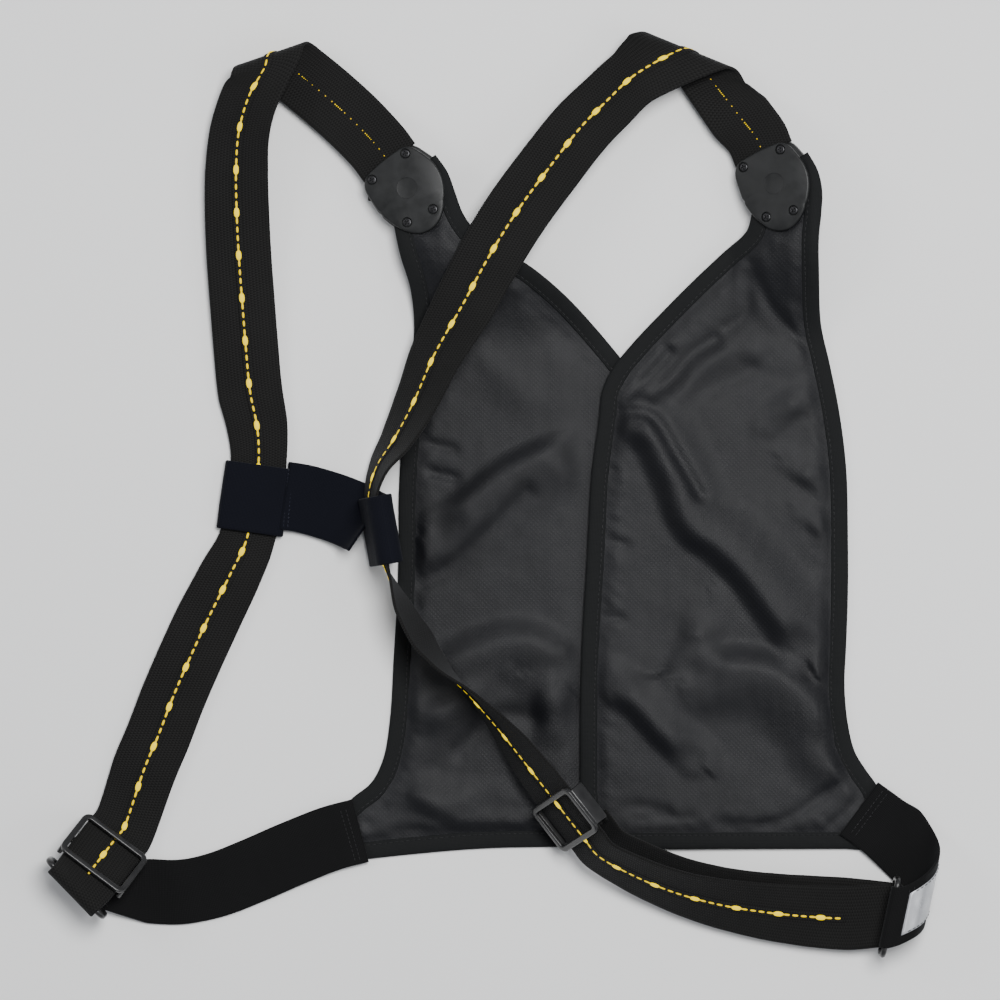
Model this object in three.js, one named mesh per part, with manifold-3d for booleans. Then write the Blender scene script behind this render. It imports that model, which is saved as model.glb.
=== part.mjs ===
// Light-up visibility harness vest, laid flat with its inner side up. Millimetres, +Z up, floor at 0.
import * as THREE from "three";
import { mergeVertices } from "three/addons/utils/BufferGeometryUtils.js";
import Module from "manifold-3d";

const wasm = await Module();
wasm.setup();

// Webbing, elastic and trims
const STRAP_WIDTH = 38;
const STRAP_THICKNESS = 1.8;
const ELASTIC_THICKNESS = 1.4;
const LIGHT_WIDTH = 4.6;
const LIGHT_THICKNESS = 0.8;
const TAPE_WIDTH = 26;
const TAPE_THICKNESS = 0.5;
const SOFT_GAP = 0.3;
const LIGHT_LIFT = STRAP_THICKNESS / 2 + SOFT_GAP + LIGHT_THICKNESS / 2;
const TAPE_LIFT = ELASTIC_THICKNESS / 2 + SOFT_GAP + TAPE_THICKNESS / 2;

// Front panels and their binding
const PANEL_THICKNESS = 1.0;
const PANEL_INSET = 1.8;
const BINDING_WIDTH = 10;
const BINDING_THICKNESS = 2.6;
const BINDING_CHANNEL = 1.9;
const BINDING_FOLD = 1.4;
const LEFT_PANEL_Z = 1.6;
const RIGHT_PANEL_Z = 5.35;
const RIGHT_PANEL_SLOPE = -0.0205;
const RIGHT_PANEL_EDGE = 47;
const RISE_START = 88;
const RISE_END = 150;

// Electronics modules, measured from the plane where the webbing is clamped
const PLATE_THICKNESS = 2.6;
const CLAMP_GAP = 2.4;
const CHAMBER_RADIUS = 15;
const GASKET_RADIUS = 16.4;
const HOUSING_DEPTH = 10;
const SCREWS = [
  [-1, 20],
  [-21, 5],
  [0, -20],
  [15.5, -12.5],
];
const SCREW_HEAD_RADIUS = 2.5;
const SCREW_SHANK_RADIUS = 1.1;
const MODULES = {
  left: { at: [-54, 180.5, 15.6], turn: 0, tilt: 12 },
  right: { at: [160, 183, 18.6], turn: -14, tilt: 24 },
};

// Slide adjusters: outer bars run over the webbing and the centre bar under it
const SLIDER_LENGTH = 32;
const SLIDER_INNER = 40;
const SLIDER_RAIL = 3;
const OUTER_BAR = { width: 4, low: 2.4, high: 5.0 };
const CENTRE_BAR = { width: 4, low: -6.4, high: -3.7 };
const TAIL_GAP = 0.4;
const TAIL_THICKNESS = 1.5;

// Side rings
const RING_INNER = 40.5;
const RING_SPACING = 20;
const RING_WIRE = 1.8;

// Back keeper
const KEEPER_WALL = 1.2;
const KEEPER_LENGTH = 40;

const COLOURS = {
  satin: { color: 0x0d0f13, roughness: 0.42, metalness: 0 },
  binding: { color: 0x0b0c0d, roughness: 0.85, metalness: 0 },
  webbing: { color: 0x0a0a0a, roughness: 0.8, metalness: 0 },
  elastic: { color: 0x0b0b0c, roughness: 0.88, metalness: 0 },
  keeper: { color: 0x0a0c14, roughness: 0.9, metalness: 0 },
  hook: { color: 0x0a0a0a, roughness: 0.95, metalness: 0 },
  light: { color: 0xffd84a, roughness: 0.35, metalness: 0 },
  reflective: { color: 0xb9bcc0, roughness: 0.4, metalness: 0.2 },
  plastic: { color: 0x0c0c0d, roughness: 0.45, metalness: 0 },
  shell: { color: 0x0e0f10, roughness: 0.5, metalness: 0 },
  rubber: { color: 0x090909, roughness: 0.8, metalness: 0 },
  steel: { color: 0x9a9c9f, roughness: 0.35, metalness: 1 },
  board: { color: 0x0c3b1e, roughness: 0.55, metalness: 0 },
  cell: { color: 0xb7bbc2, roughness: 0.45, metalness: 0.4 },
};

const group = new THREE.Group();
group.name = "light_up_harness_vest";

function add(name, geometry, finish) {
  const mesh = new THREE.Mesh(geometry, new THREE.MeshStandardMaterial(COLOURS[finish]));
  mesh.name = name;
  group.add(mesh);
}

const vector = (x, y, z = 0) => new THREE.Vector3(x, y, z);
const radians = (degrees) => THREE.MathUtils.degToRad(degrees);
const heading = (degrees, z = 0) =>
  vector(Math.cos(radians(degrees)), Math.sin(radians(degrees)), z);

// ---------- joining and cutting closed solids ----------

function solidOf(geometry) {
  const plain = geometry.index ? geometry.toNonIndexed() : geometry.clone();
  plain.deleteAttribute("normal");
  plain.deleteAttribute("uv");
  const merged = mergeVertices(plain, 1e-4);
  const vertProperties = merged.attributes.position.array;
  const triVerts = new Uint32Array(merged.index.array);
  return new wasm.Manifold(new wasm.Mesh({ numProp: 3, vertProperties, triVerts }));
}

function geometryOf(solid) {
  const mesh = solid.getMesh();
  const geometry = new THREE.BufferGeometry();
  const positions = new Float32Array(mesh.vertProperties);
  geometry.setAttribute("position", new THREE.BufferAttribute(positions, 3));
  geometry.setIndex(new THREE.BufferAttribute(new Uint32Array(mesh.triVerts), 1));
  const flat = geometry.toNonIndexed();
  flat.computeVertexNormals();
  return flat;
}

const cut = (geometry, tools) =>
  geometryOf(tools.reduce((body, tool) => body.subtract(solidOf(tool)), solidOf(geometry)));

function largest(geometry) {
  const bodies = solidOf(geometry).decompose();
  return geometryOf(bodies.reduce((most, body) => (body.volume() > most.volume() ? body : most)));
}

const join = (geometries) =>
  geometryOf(geometries.slice(1).reduce((body, g) => body.add(solidOf(g)), solidOf(geometries[0])));

function box(width, depth, height, at) {
  return new THREE.BoxGeometry(width, depth, height).translate(at[0], at[1], at[2]);
}

// An upright cylinder between two heights.
function pin(radius, low, high, x = 0, y = 0, sides = 24) {
  const cylinder = new THREE.CylinderGeometry(radius, radius, high - low, sides);
  return cylinder.rotateX(Math.PI / 2).translate(x, y, (low + high) / 2);
}

// ---------- lofting one closed section along a row of rings ----------

function signedArea(points) {
  return points.reduce((sum, p, i) => {
    const q = points[(i + 1) % points.length];
    return sum + p.x * q.y - q.x * p.y;
  }, 0);
}

function loft(rings, section) {
  const size = section.length;
  const whole = Math.sign(signedArea(section));
  const triangles = [];
  for (let i = 0; i + 1 < rings.length; i += 1) {
    for (let j = 0; j < size; j += 1) {
      const k = (j + 1) % size;
      triangles.push([rings[i][j], rings[i][k], rings[i + 1][k]]);
      triangles.push([rings[i][j], rings[i + 1][k], rings[i + 1][j]]);
    }
  }
  const first = rings[0];
  const last = rings[rings.length - 1];
  for (const [a, b, c] of THREE.ShapeUtils.triangulateShape(section, [])) {
    const same = Math.sign(signedArea([section[a], section[b], section[c]])) === whole;
    const [p, q] = same ? [b, c] : [c, b];
    triangles.push([last[a], last[p], last[q]]);
    triangles.push([first[a], first[q], first[p]]);
  }
  const volume = triangles.reduce((sum, [a, b, c]) => sum + a.dot(b.clone().cross(c)), 0);
  const points = triangles.flatMap(([a, b, c]) => (volume > 0 ? [a, b, c] : [a, c, b]));
  const geometry = new THREE.BufferGeometry().setFromPoints(points);
  geometry.computeVertexNormals();
  return geometry;
}

// ---------- bands: webbing, elastic, tape and light line ----------

// One place along a band. Roll tips its width out of the horizontal, 0 with the outer face up, and
// bunch narrows it.
const place = (x, y, z, roll = 0, bunch = 1) => ({ p: vector(x, y, z), roll, bunch });

function rolledAcross(tangent, roll) {
  const level = vector(-tangent.y, tangent.x).normalize();
  const across = level.multiplyScalar(Math.cos(radians(roll)));
  across.z = Math.sin(radians(roll));
  return across.addScaledVector(tangent, -across.dot(tangent)).normalize();
}

// Frames along a band: centre, direction, width and outward normal. The width's length is 1 where
// the band lies square, more along a slanting fold and less where it bunches.
function runOf(places, step = 14, turnStep = 9) {
  const points = places.map((s) => s.p);
  const curve = new THREE.CatmullRomCurve3(points, false, "centripetal");
  const last = places.length - 1;
  const widthAt = (s, i) => rolledAcross(curve.getTangent(i / last), s.roll).multiplyScalar(s.bunch);
  const widths = places.map((s, i) => s.across ?? widthAt(s, i));
  const frames = [];
  const frameAt = (t, across, from) => {
    const tangent = curve.getTangent(t);
    const normal = tangent.clone().cross(across).normalize();
    frames.push({ p: curve.getPoint(t), t: tangent, a: across, n: normal, from });
  };
  for (let i = 0; i < last; i += 1) {
    const length = points[i].distanceTo(points[i + 1]);
    const twist = THREE.MathUtils.radToDeg(widths[i].angleTo(widths[i + 1]));
    const parts = Math.max(1, Math.ceil(length / step), Math.ceil(twist / turnStep));
    for (let k = 0; k < parts; k += 1) {
      frameAt((i + k / parts) / last, widths[i].clone().lerp(widths[i + 1], k / parts), i);
    }
  }
  frameAt(1, widths[last], last);
  return frames;
}

// A flat band along the frames, lifted along the normal and shifted along the width.
function band(frames, width, thickness, lift = 0, columns = [-1, -0.14, 0.14, 1]) {
  const section = [
    ...columns.map((c) => new THREE.Vector2((c * width) / 2, lift + thickness / 2)),
    ...columns.toReversed().map((c) => new THREE.Vector2((c * width) / 2, lift - thickness / 2)),
  ];
  const ringAt = (f) =>
    section.map((s) => f.p.clone().addScaledVector(f.a, s.x).addScaledVector(f.n, s.y));
  return loft(frames.map(ringAt), section);
}

// A fold from a lower layer up to an upper one. The axis may cross the band askew, and each ruling
// of the fold runs along it.
function foldUp(start, travel, axisHeading, radius, steps = 6) {
  const axis = heading(axisHeading);
  const along = travel.dot(axis);
  const bulge = travel.clone().addScaledVector(axis, -along);
  const outward = bulge.length();
  bulge.normalize();
  const square = vector(travel.y, -travel.x);
  const ruling = axis.clone().multiplyScalar(Math.sign(square.dot(axis)) / outward);
  const places = [];
  for (let i = 0; i <= steps; i += 1) {
    const angle = (Math.PI * i) / steps;
    const p = start.clone().addScaledVector(axis, (radius * angle * along) / outward);
    p.addScaledVector(bulge, radius * Math.sin(angle));
    p.z += radius * (1 - Math.cos(angle));
    places.push({ p, across: ruling });
  }
  return places;
}

// Half a turn round a bar: the band arrives on top with its outer face out and leaves underneath.
function wrap(centre, travel, across, radius, steps = 6) {
  const normal = travel.clone().cross(across).normalize();
  const forward = across.clone().cross(normal).normalize();
  const places = [];
  for (let i = 0; i <= steps; i += 1) {
    const angle = (Math.PI * i) / steps;
    const p = centre.clone().addScaledVector(normal, radius * Math.cos(angle));
    p.addScaledVector(forward, radius * Math.sin(angle));
    places.push({ p, across });
  }
  return places;
}

// ---------- front panels ----------

// Each panel's edge, from the module down its neck and centre, along the hem and up the arm side.
const LEFT_EDGE = [
  [-30, 166], [-22, 157], [-4, 147], [16, 136], [37, 119], [56, 99], [71, 81], [86, 62], [94, 44],
  [96, 15], [96, -30], [96, -80], [95, -130], [94, -170], [91, -191], [80, -203], [56, -204],
  [20, -204], [-14, -205], [-50, -208], [-78, -211], [-94, -213], [-97, -200], [-95, -184],
  [-87, -175], [-76, -166], [-69, -152], [-65, -128], [-63, -94], [-61, -59], [-60, -30],
  [-60, 0], [-58, 34], [-54, 69], [-51, 100], [-53, 122], [-59, 142], [-64, 166],
].toReversed();
const RIGHT_EDGE = [
  [146, 166], [143, 156], [130, 144], [114, 129], [94, 109], [77, 91], [65, 76], [59, 63], [57, 46],
  [53, 17], [50, -36], [47, -89], [46, -147], [47, -178], [52, -195], [66, -204], [95, -205],
  [130, -205], [165, -205], [200, -205], [215, -205], [222, -199], [224, -186], [221, -170],
  [213, -158], [207, -148], [203, -132], [201, -110], [202, -85], [203, -55], [203, -24],
  [202, 17], [198, 50], [192, 80], [187, 102], [185, 130], [185, 150], [186, 166],
];

function modulePlane(module, x) {
  const slope = Math.tan(radians(module.tilt));
  const reach = THREE.MathUtils.clamp(x - module.at[0], -26, 20);
  return module.at[2] + slope * reach;
}

function rise(y) {
  const t = THREE.MathUtils.clamp((y - RISE_START) / (RISE_END - RISE_START), 0, 1);
  return t * t * (3 - 2 * t);
}

const leftHeight = (x, y) =>
  THREE.MathUtils.lerp(LEFT_PANEL_Z, modulePlane(MODULES.left, x), rise(y));

const rightHeight = (x, y) =>
  THREE.MathUtils.lerp(
    RIGHT_PANEL_Z + RIGHT_PANEL_SLOPE * (x - RIGHT_PANEL_EDGE),
    modulePlane(MODULES.right, x),
    rise(y),
  );

// The edge moved inwards by a distance, corner by corner.
function inset(edge, distance, closed = true) {
  const count = edge.length;
  return edge.map(([x, y], i) => {
    const before = edge[closed ? (i + count - 1) % count : Math.max(i - 1, 0)];
    const after = edge[closed ? (i + 1) % count : Math.min(i + 1, count - 1)];
    const into = vector(x - before[0], y - before[1]).normalize();
    const out = vector(after[0] - x, after[1] - y).normalize();
    if (into.length() < 0.5) into.copy(out);
    if (out.length() < 0.5) out.copy(into);
    const middle = vector(-into.y - out.y, into.x + out.x).normalize();
    const reach = distance / Math.max(0.5, middle.dot(vector(-into.y, into.x)));
    return [x + middle.x * reach, y + middle.y * reach];
  });
}

function spanAt(edge, y) {
  const crossings = edge.flatMap(([x0, y0], i) => {
    const [x1, y1] = edge[(i + 1) % edge.length];
    return (y0 - y) * (y1 - y) <= 0 && y0 !== y1 ? [x0 + ((y - y0) * (x1 - x0)) / (y1 - y0)] : [];
  });
  return [Math.min(...crossings), Math.max(...crossings)];
}

function panel(edge, height, module) {
  const inner = inset(edge, PANEL_INSET);
  const top = 166;
  const bottom = Math.min(...inner.map((p) => p[1])) + 0.4;
  const rows = [];
  for (let y = bottom; y < top; y += y > RISE_START - 10 ? 5 : 13) rows.push(y);
  rows.push(top);
  const columns = [0, 0.14, 0.3, 0.5, 0.7, 0.86, 1];
  const section = [
    ...columns.map((c) => new THREE.Vector2(c, 1)),
    ...columns.toReversed().map((c) => new THREE.Vector2(c, -1)),
  ];
  const rings = rows.map((y) => {
    const [x0, x1] = spanAt(inner, Math.min(y, top - 2));
    return section.map((s) => {
      const x = THREE.MathUtils.lerp(x0, x1, s.x);
      return vector(x, y, height(x, y) + (s.y * PANEL_THICKNESS) / 2);
    });
  });
  const cleared = cut(loft(rings, section), [bindingBody(edge.slice(1, -1), height, 0.3)]);
  return cut(largest(cleared), clampTools(module));
}

// Binding folded round the edge: a thin channel that holds the panel's raw edge, grown by a margin.
function bindingBody(edge, height, grow = 0) {
  const half = BINDING_THICKNESS / 2 + grow;
  const slot = BINDING_CHANNEL / 2 - grow;
  const reach = BINDING_WIDTH + grow;
  const fold = BINDING_FOLD + grow;
  const section = [
    [-grow, -half], [reach, -half], [reach, -slot], [fold, -slot],
    [fold, slot], [reach, slot], [reach, half], [-grow, half],
  ].map(([d, e]) => new THREE.Vector2(d, e));
  const lines = new Map();
  for (const s of section) {
    if (!lines.has(s.x)) lines.set(s.x, inset(edge, s.x, false));
  }
  const rings = edge.map((_, i) =>
    section.map((s) => {
      const [x, y] = lines.get(s.x)[i];
      return vector(x, y, height(x, y) + s.y);
    }),
  );
  return loft(rings, section);
}

// ---------- electronics modules ----------

const moduleMatrix = ({ at, turn, tilt }) =>
  new THREE.Matrix4()
    .makeTranslation(at[0], at[1], at[2])
    .multiply(new THREE.Matrix4().makeRotationY(radians(-tilt)))
    .multiply(new THREE.Matrix4().makeRotationZ(radians(turn)));

// The case outline: round, with lobes that reach out round the screws.
function outlineRadius(angle) {
  const lobe = (centre, reach, spread) => {
    const away = ((angle - centre + 540) % 360) - 180;
    return reach * Math.exp(-((away / spread) ** 2));
  };
  return 21.5 + lobe(90, 2.8, 18) + lobe(172, 4.2, 22) + lobe(298, 6.6, 38);
}

function outline(grow, points = 48) {
  return Array.from({ length: points }, (_, i) => {
    const angle = (360 * i) / points;
    return heading(angle).multiplyScalar(outlineRadius(angle) + grow);
  });
}

function shellLoft(levels) {
  const section = outline(0).map((p) => new THREE.Vector2(p.x, p.y));
  const rings = levels.map(([grow, z]) => outline(grow).map((p) => vector(p.x, p.y, z)));
  return loft(rings, section);
}

function clampTools(module) {
  const matrix = moduleMatrix(module);
  return [
    pin(GASKET_RADIUS + 0.4, -12, 12),
    ...SCREWS.map(([x, y]) => pin(SCREW_SHANK_RADIUS + 0.4, -12, 12, x, y, 12)),
  ].map((tool) => tool.applyMatrix4(matrix));
}

function buildModule(side) {
  const module = MODULES[side];
  const matrix = moduleMatrix(module);
  const put = (name, geometry, finish) =>
    add(`${side}_${name}`, geometry.applyMatrix4(matrix), finish);
  const rim = CLAMP_GAP / 2;
  const face = rim + PLATE_THICKNESS;
  const floor = -rim - HOUSING_DEPTH;

  const plate = shellLoft([[0, rim], [0, face - 0.5], [-0.6, face]]);
  const plateHoles = SCREWS.flatMap(([x, y]) => [
    pin(SCREW_SHANK_RADIUS + 0.3, rim - 1, face + 1, x, y, 16),
    pin(SCREW_HEAD_RADIUS + 0.45, face - 1.5, face + 1, x, y, 20),
  ]);
  put("back_plate", cut(plate, plateHoles), "shell");

  const shell = shellLoft([[0.9, -rim], [1.4, -3.4], [0.4, -7.4], [-2.8, floor + 1], [-5.6, floor]]);
  put(
    "front_housing",
    cut(shell, [
      pin(CHAMBER_RADIUS, floor + 1.8, 0, 0, 0, 32),
      pin(GASKET_RADIUS + 0.3, -rim - 0.8, 0, 0, 0, 32),
      pin(5.3, floor - 1, floor + 2),
      box(5.2, 10.4, 4.2, [-25, -2, -5.1]),
      ...SCREWS.map(([x, y]) => pin(SCREW_SHANK_RADIUS + 0.3, -9.5, 0, x, y, 16)),
    ]),
    "shell",
  );

  const ring = pin(GASKET_RADIUS, -rim - 0.5, rim - 0.3, 0, 0, 32);
  put("gasket", cut(ring, [pin(CHAMBER_RADIUS + 0.2, -4, 4, 0, 0, 32)]), "rubber");
  put("circuit_board", pin(CHAMBER_RADIUS - 0.6, -3.6, -2.2, 0, 0, 32), "board");
  put("battery_cell", box(20, 15, 3.4, [0, 0, -5.9]), "cell");

  const button = join([pin(4.7, floor + 0.3, floor + 2.5), pin(6, floor + 2.1, floor + 2.8)]);
  put("power_button", button, "rubber");
  put("port_plug", box(2.2, 9.6, 3.4, [-23.9, -2, -5.1]), "rubber");

  SCREWS.forEach(([x, y], i) => {
    const shank = pin(SCREW_SHANK_RADIUS, -9, face - 1.2, x, y, 12);
    const head = pin(SCREW_HEAD_RADIUS, face - 1.3, face - 0.3, x, y, 20);
    put(`screw_${i + 1}`, join([shank, head]), "steel");
  });
}

// ---------- straps ----------

// Where a strap leaves its module, in the plane between plate and housing.
function moduleExit(side, bearing, distances) {
  const { at, tilt } = MODULES[side];
  const slope = Math.tan(radians(tilt));
  const down = heading(bearing);
  down.z = down.x * slope;
  down.normalize();
  const normal = vector(Math.sin(radians(tilt)), 0, -Math.cos(radians(tilt)));
  const across = normal.clone().cross(down).normalize();
  return distances.map((d) => ({
    p: vector(...at).addScaledVector(down, d),
    across,
  }));
}

// The slider's own axes at a place on its strap.
function sliderAxes(centre, bearing, fall, roll) {
  const t = heading(bearing).multiplyScalar(Math.cos(radians(fall)));
  t.z = Math.sin(radians(fall));
  const a = rolledAcross(t, roll);
  return { p: centre, t, a, n: t.clone().cross(a) };
}

const LEFT_SLIDER = sliderAxes(vector(-232, -208, 19), -127, 38, 0);
const RIGHT_SLIDER = sliderAxes(vector(39.5, -184, 33), -52, 0, 56);
const LEFT_RING = { at: vector(-246.5, -226, 22.6), axis: -46 };
const RIGHT_RING = { at: vector(226, -243, 19), axis: -102 };
const STRAP_LOOP_REACH = RING_WIRE + 1.4;
const ELASTIC_LOOP_REACH = RING_WIRE + 0.4;

const onSlider = ({ p, t, a }, d) => ({ p: p.clone().addScaledVector(t, d), across: a });

function ringBar(ring, side) {
  return ring.at.clone().add(vector(0, 0, (side * RING_SPACING) / 2));
}

// The strap's returning layer under its front layer, back to the slider's centre bar.
function returnLayer(frames, depth, sideways) {
  return frames.map((f) => ({
    p: f.p.clone().addScaledVector(f.n, -depth).addScaledVector(f.a, sideways),
    across: f.a.clone(),
  }));
}

const strapRadius = STRAP_LOOP_REACH + STRAP_THICKNESS / 2;
const elasticRadius = ELASTIC_LOOP_REACH + ELASTIC_THICKNESS / 2;

const leftFold = foldUp(vector(-127, 255, 8.2), heading(140), 199, 5.5);
const leftStrapDown = [
  place(-146, 234, 18, 24), place(-152, 214, 15.5, 20), place(-154, 192, 13, 12),
  place(-154, 168, 10, 5), place(-153, 142, 7.5), place(-151, 114, 6), place(-149, 88, 4.8),
  place(-146.5, 62, 4), place(-142.5, 42, 3.4, 0, 0.94), place(-141.5, 24, 3.3, 0, 0.86),
  place(-144, 0, 3.3, 0, 0.86), place(-149, -25, 3.3, 0, 0.86), place(-158, -44, 3.3, 0, 0.95),
  place(-172, -72, 3.4), place(-183, -96, 3.5), place(-192, -117, 3.6), place(-200, -138, 3.6),
  place(-208, -157, 3.8),
];
const leftOnSlider = [-24, -16, -8, 0, 8, 17].map((d) => onSlider(LEFT_SLIDER, d));
const leftAxis = heading(LEFT_RING.axis);
const leftGrip = leftAxis.clone().multiplyScalar(0.96);
const leftWrap = wrap(ringBar(LEFT_RING, 1), vector(-0.7, -0.58, 0.2), leftGrip, strapRadius);
const leftReturn = [15, 9].map((d) => {
  const { p, t, n, a } = LEFT_SLIDER;
  return { p: p.clone().addScaledVector(t, d).addScaledVector(n, -10), across: a };
});
const leftExit = moduleExit("left", 126, [12, 20, 29]);
const leftInner = [place(-86, 220, 7.6, 180), place(-102, 234.5, 7.4, 180)];
const leftFront = [...leftExit, ...leftInner, ...leftFold, ...leftStrapDown, ...leftOnSlider];
const leftPlaces = [...leftFront, ...leftWrap, ...leftReturn];

const rightFold = foldUp(vector(115, 255, 9.5), heading(116), 159, 5);
const rightStrapDown = [
  place(77, 245, 20.5, 20), place(62, 231, 21, 16), place(47, 216, 22, 10), place(28, 192, 23, 4),
  place(9, 166, 25.5, 3), place(-7, 140, 26.5, 7), place(-22, 112, 26, 18), place(-38, 83, 25, 36),
  place(-50, 55, 24, 48), place(-61, 34, 23.5, 60), place(-71, 18, 23, 72),
  place(-75.5, 2, 22.6, 78), place(-74.5, -16, 22.6, 80), place(-67, -38, 23.5, 84),
  place(-57, -62, 24.5, 104), place(-46, -81, 25.5, 110), place(-34, -97, 25.5, 100),
  place(-18, -113, 25.5, 84), place(-3, -130, 26.5, 72), place(9, -145, 28.5, 62),
];
const rightOnSlider = [-27, -18, -9, 0, 9, 18, 27].map((d) => onSlider(RIGHT_SLIDER, d));
const rightStrapOn = [
  place(74, -216, 28.5, 54), place(99, -227, 24, 48), place(126, -235, 20, 38),
  place(153, -240, 16.5, 26), place(178, -243, 14, 15), place(202, -244.5, 12.5, 6),
];
const rightAxis = heading(RIGHT_RING.axis);
const rightBar = ringBar(RIGHT_RING, -1);
const rightWrap = wrap(rightBar, heading(-12), rightAxis.clone().negate(), strapRadius);
const rightExit = moduleExit("right", 112, [12, 20, 29]);
const rightInner = [place(139, 223, 9.4, 180)];
const rightFront = [
  ...rightExit, ...rightInner, ...rightFold, ...rightStrapDown, ...rightOnSlider, ...rightStrapOn,
];
const backFrames = runOf([...rightOnSlider.slice(4), ...rightStrapOn, rightWrap[0]], 400, 400);
const rightReturn = returnLayer(backFrames.slice(0, -1), 10.6, 0);
rightReturn.forEach((s, i) => {
  const nearSlider = THREE.MathUtils.clamp(1 - (i - 3) / 4, 0, 1);
  const depth = THREE.MathUtils.lerp(5.2, 0, nearSlider);
  s.p.addScaledVector(backFrames[i].n, depth).addScaledVector(backFrames[i].a, 4 * (1 - nearSlider));
});
const rightPlaces = [...rightFront, ...rightWrap, ...rightReturn.toReversed()];

const leftRun = runOf(leftPlaces);
const rightRun = runOf(rightPlaces);
const litPart = (run, front) => run.filter((f) => f.from >= 3 && f.from < front.length - 1);

function strap(run, module) {
  const body = band(run, STRAP_WIDTH, STRAP_THICKNESS);
  return cut(body, clampTools(module));
}

// ---------- slide adjusters, rings and keeper ----------

function frameMatrix({ p, t, a, n }) {
  return new THREE.Matrix4().makeBasis(t, a, n).setPosition(p);
}

function slideAdjuster(axes) {
  const half = SLIDER_INNER / 2;
  const low = CENTRE_BAR.low;
  const high = OUTER_BAR.high;
  const rails = [-1, 1].map((s) =>
    box(SLIDER_LENGTH, SLIDER_RAIL, high - low, [0, s * (half + SLIDER_RAIL / 2), (high + low) / 2]),
  );
  const bar = ({ width, low: z0, high: z1 }, x) =>
    box(width, 2 * half + 2, z1 - z0, [x, 0, (z0 + z1) / 2]);
  const end = (SLIDER_LENGTH - OUTER_BAR.width) / 2;
  const body = join([...rails, bar(OUTER_BAR, -end), bar(OUTER_BAR, end), bar(CENTRE_BAR, 0)]);
  return body.applyMatrix4(frameMatrix(axes));
}

// The webbing's sewn end: a loop round the centre bar, both legs reaching towards the ring.
function strapTail(axes) {
  const reach = CENTRE_BAR.width / 2 + TAIL_GAP;
  const low = CENTRE_BAR.low - TAIL_GAP;
  const high = CENTRE_BAR.high + TAIL_GAP;
  const outer = box(16 + reach, STRAP_WIDTH, high - low + 2 * TAIL_THICKNESS, [
    8 - reach / 2 - TAIL_THICKNESS / 2, 0, (high + low) / 2,
  ]);
  const hollow = box(24, STRAP_WIDTH + 4, high - low, [12 - reach, 0, (high + low) / 2]);
  return cut(outer, [hollow]).applyMatrix4(frameMatrix(axes));
}

// A wire rectangle with rounded corners, standing on edge.
class RingPath extends THREE.Curve {
  constructor(width, height, corner) {
    super();
    Object.assign(this, { width, height, corner });
  }

  getPoint(t, target = vector(0, 0)) {
    const straightX = this.width - 2 * this.corner;
    const straightY = this.height - 2 * this.corner;
    const arc = (Math.PI / 2) * this.corner;
    let s = (((t % 1) + 1) % 1) * 2 * (straightX + straightY + 2 * arc);
    for (let side = 0; side < 4; side += 1) {
      const straight = side % 2 ? straightY : straightX;
      const turn = (side * Math.PI) / 2;
      const out = vector(Math.cos(turn), Math.sin(turn));
      const left = vector(-out.y, out.x);
      const far = side % 2 ? straightX / 2 : straightY / 2;
      if (s <= straight + arc) {
        const run = Math.min(s, straight);
        const angle = Math.max(0, s - straight) / this.corner;
        target.copy(out).multiplyScalar(run - straight / 2 + this.corner * Math.sin(angle));
        return target.addScaledVector(left, -far - this.corner * Math.cos(angle));
      }
      s -= straight + arc;
    }
    return target;
  }
}

function sideRing({ at, axis }) {
  const path = new RingPath(RING_INNER + 2 * RING_WIRE, RING_SPACING, 4);
  const wire = new THREE.TubeGeometry(path, 44, RING_WIRE, 8, true);
  return wire.rotateX(Math.PI / 2).rotateZ(radians(axis)).translate(at.x, at.y, at.z);
}

function tube(axes, width, height) {
  const outer = box(KEEPER_LENGTH, width + 2 * KEEPER_WALL, height + 2 * KEEPER_WALL, [0, 0, 0]);
  const hollow = box(KEEPER_LENGTH + 4, width, height, [0, 0, 0]);
  return cut(outer, [hollow]).applyMatrix4(frameMatrix(axes));
}

function backKeeper() {
  const flat = sliderAxes(vector(-144.2, 0, 3.9), -98, 0, 0);
  const standing = sliderAxes(vector(-70, -18.5, 23.4), -80, 0, 80);
  const bridge = runOf([place(-127, 1, 2), place(-112, -1, 2), place(-98, -5, 2), place(-82, -10, 2)]);
  return join([
    tube(flat, 37, 4.6),
    tube(standing, 41.4, 13.5),
    band(bridge, KEEPER_LENGTH, 2.6, 0, [-1, 0, 1]),
  ]);
}

// ---------- side elastics ----------

const leftBunch = leftAxis.clone().multiplyScalar(-0.92);
const leftElasticEnd = wrap(ringBar(LEFT_RING, -1), heading(200), leftBunch, elasticRadius);
const leftElastic = [
  place(-82, -194, 4.5, 180), place(-99, -198.5, 4.4, 180), place(-123, -208, 3, 180),
  place(-146, -218, 2.3, 180), place(-167, -226, 2.2, 180), place(-187, -230, 2.2, 180),
  place(-206, -229.5, 2.6, 180),
];

const rightElasticFold = foldUp(vector(240, -206, 2.4), heading(-50), RIGHT_RING.axis, 14.8);
rightElasticFold.forEach((s, i) => {
  s.across = s.across.clone().multiplyScalar(1 - 0.04 * i);
});
const rightElastic = [place(209, -181, 4.6, 180), place(224, -192, 4.6, 180), ...rightElasticFold];
const rightBunch = rightAxis.clone().multiplyScalar(0.95);
const rightElasticEnd = wrap(ringBar(RIGHT_RING, 1), heading(174), rightBunch, elasticRadius);

const tailOf = (end, distance) => {
  const { p, across } = end[end.length - 1];
  const before = end[end.length - 2].p;
  const away = p.clone().sub(before).setZ(0).normalize();
  return { p: p.clone().addScaledVector(away, distance), across };
};

// ---------- everything in its place ----------

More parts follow.
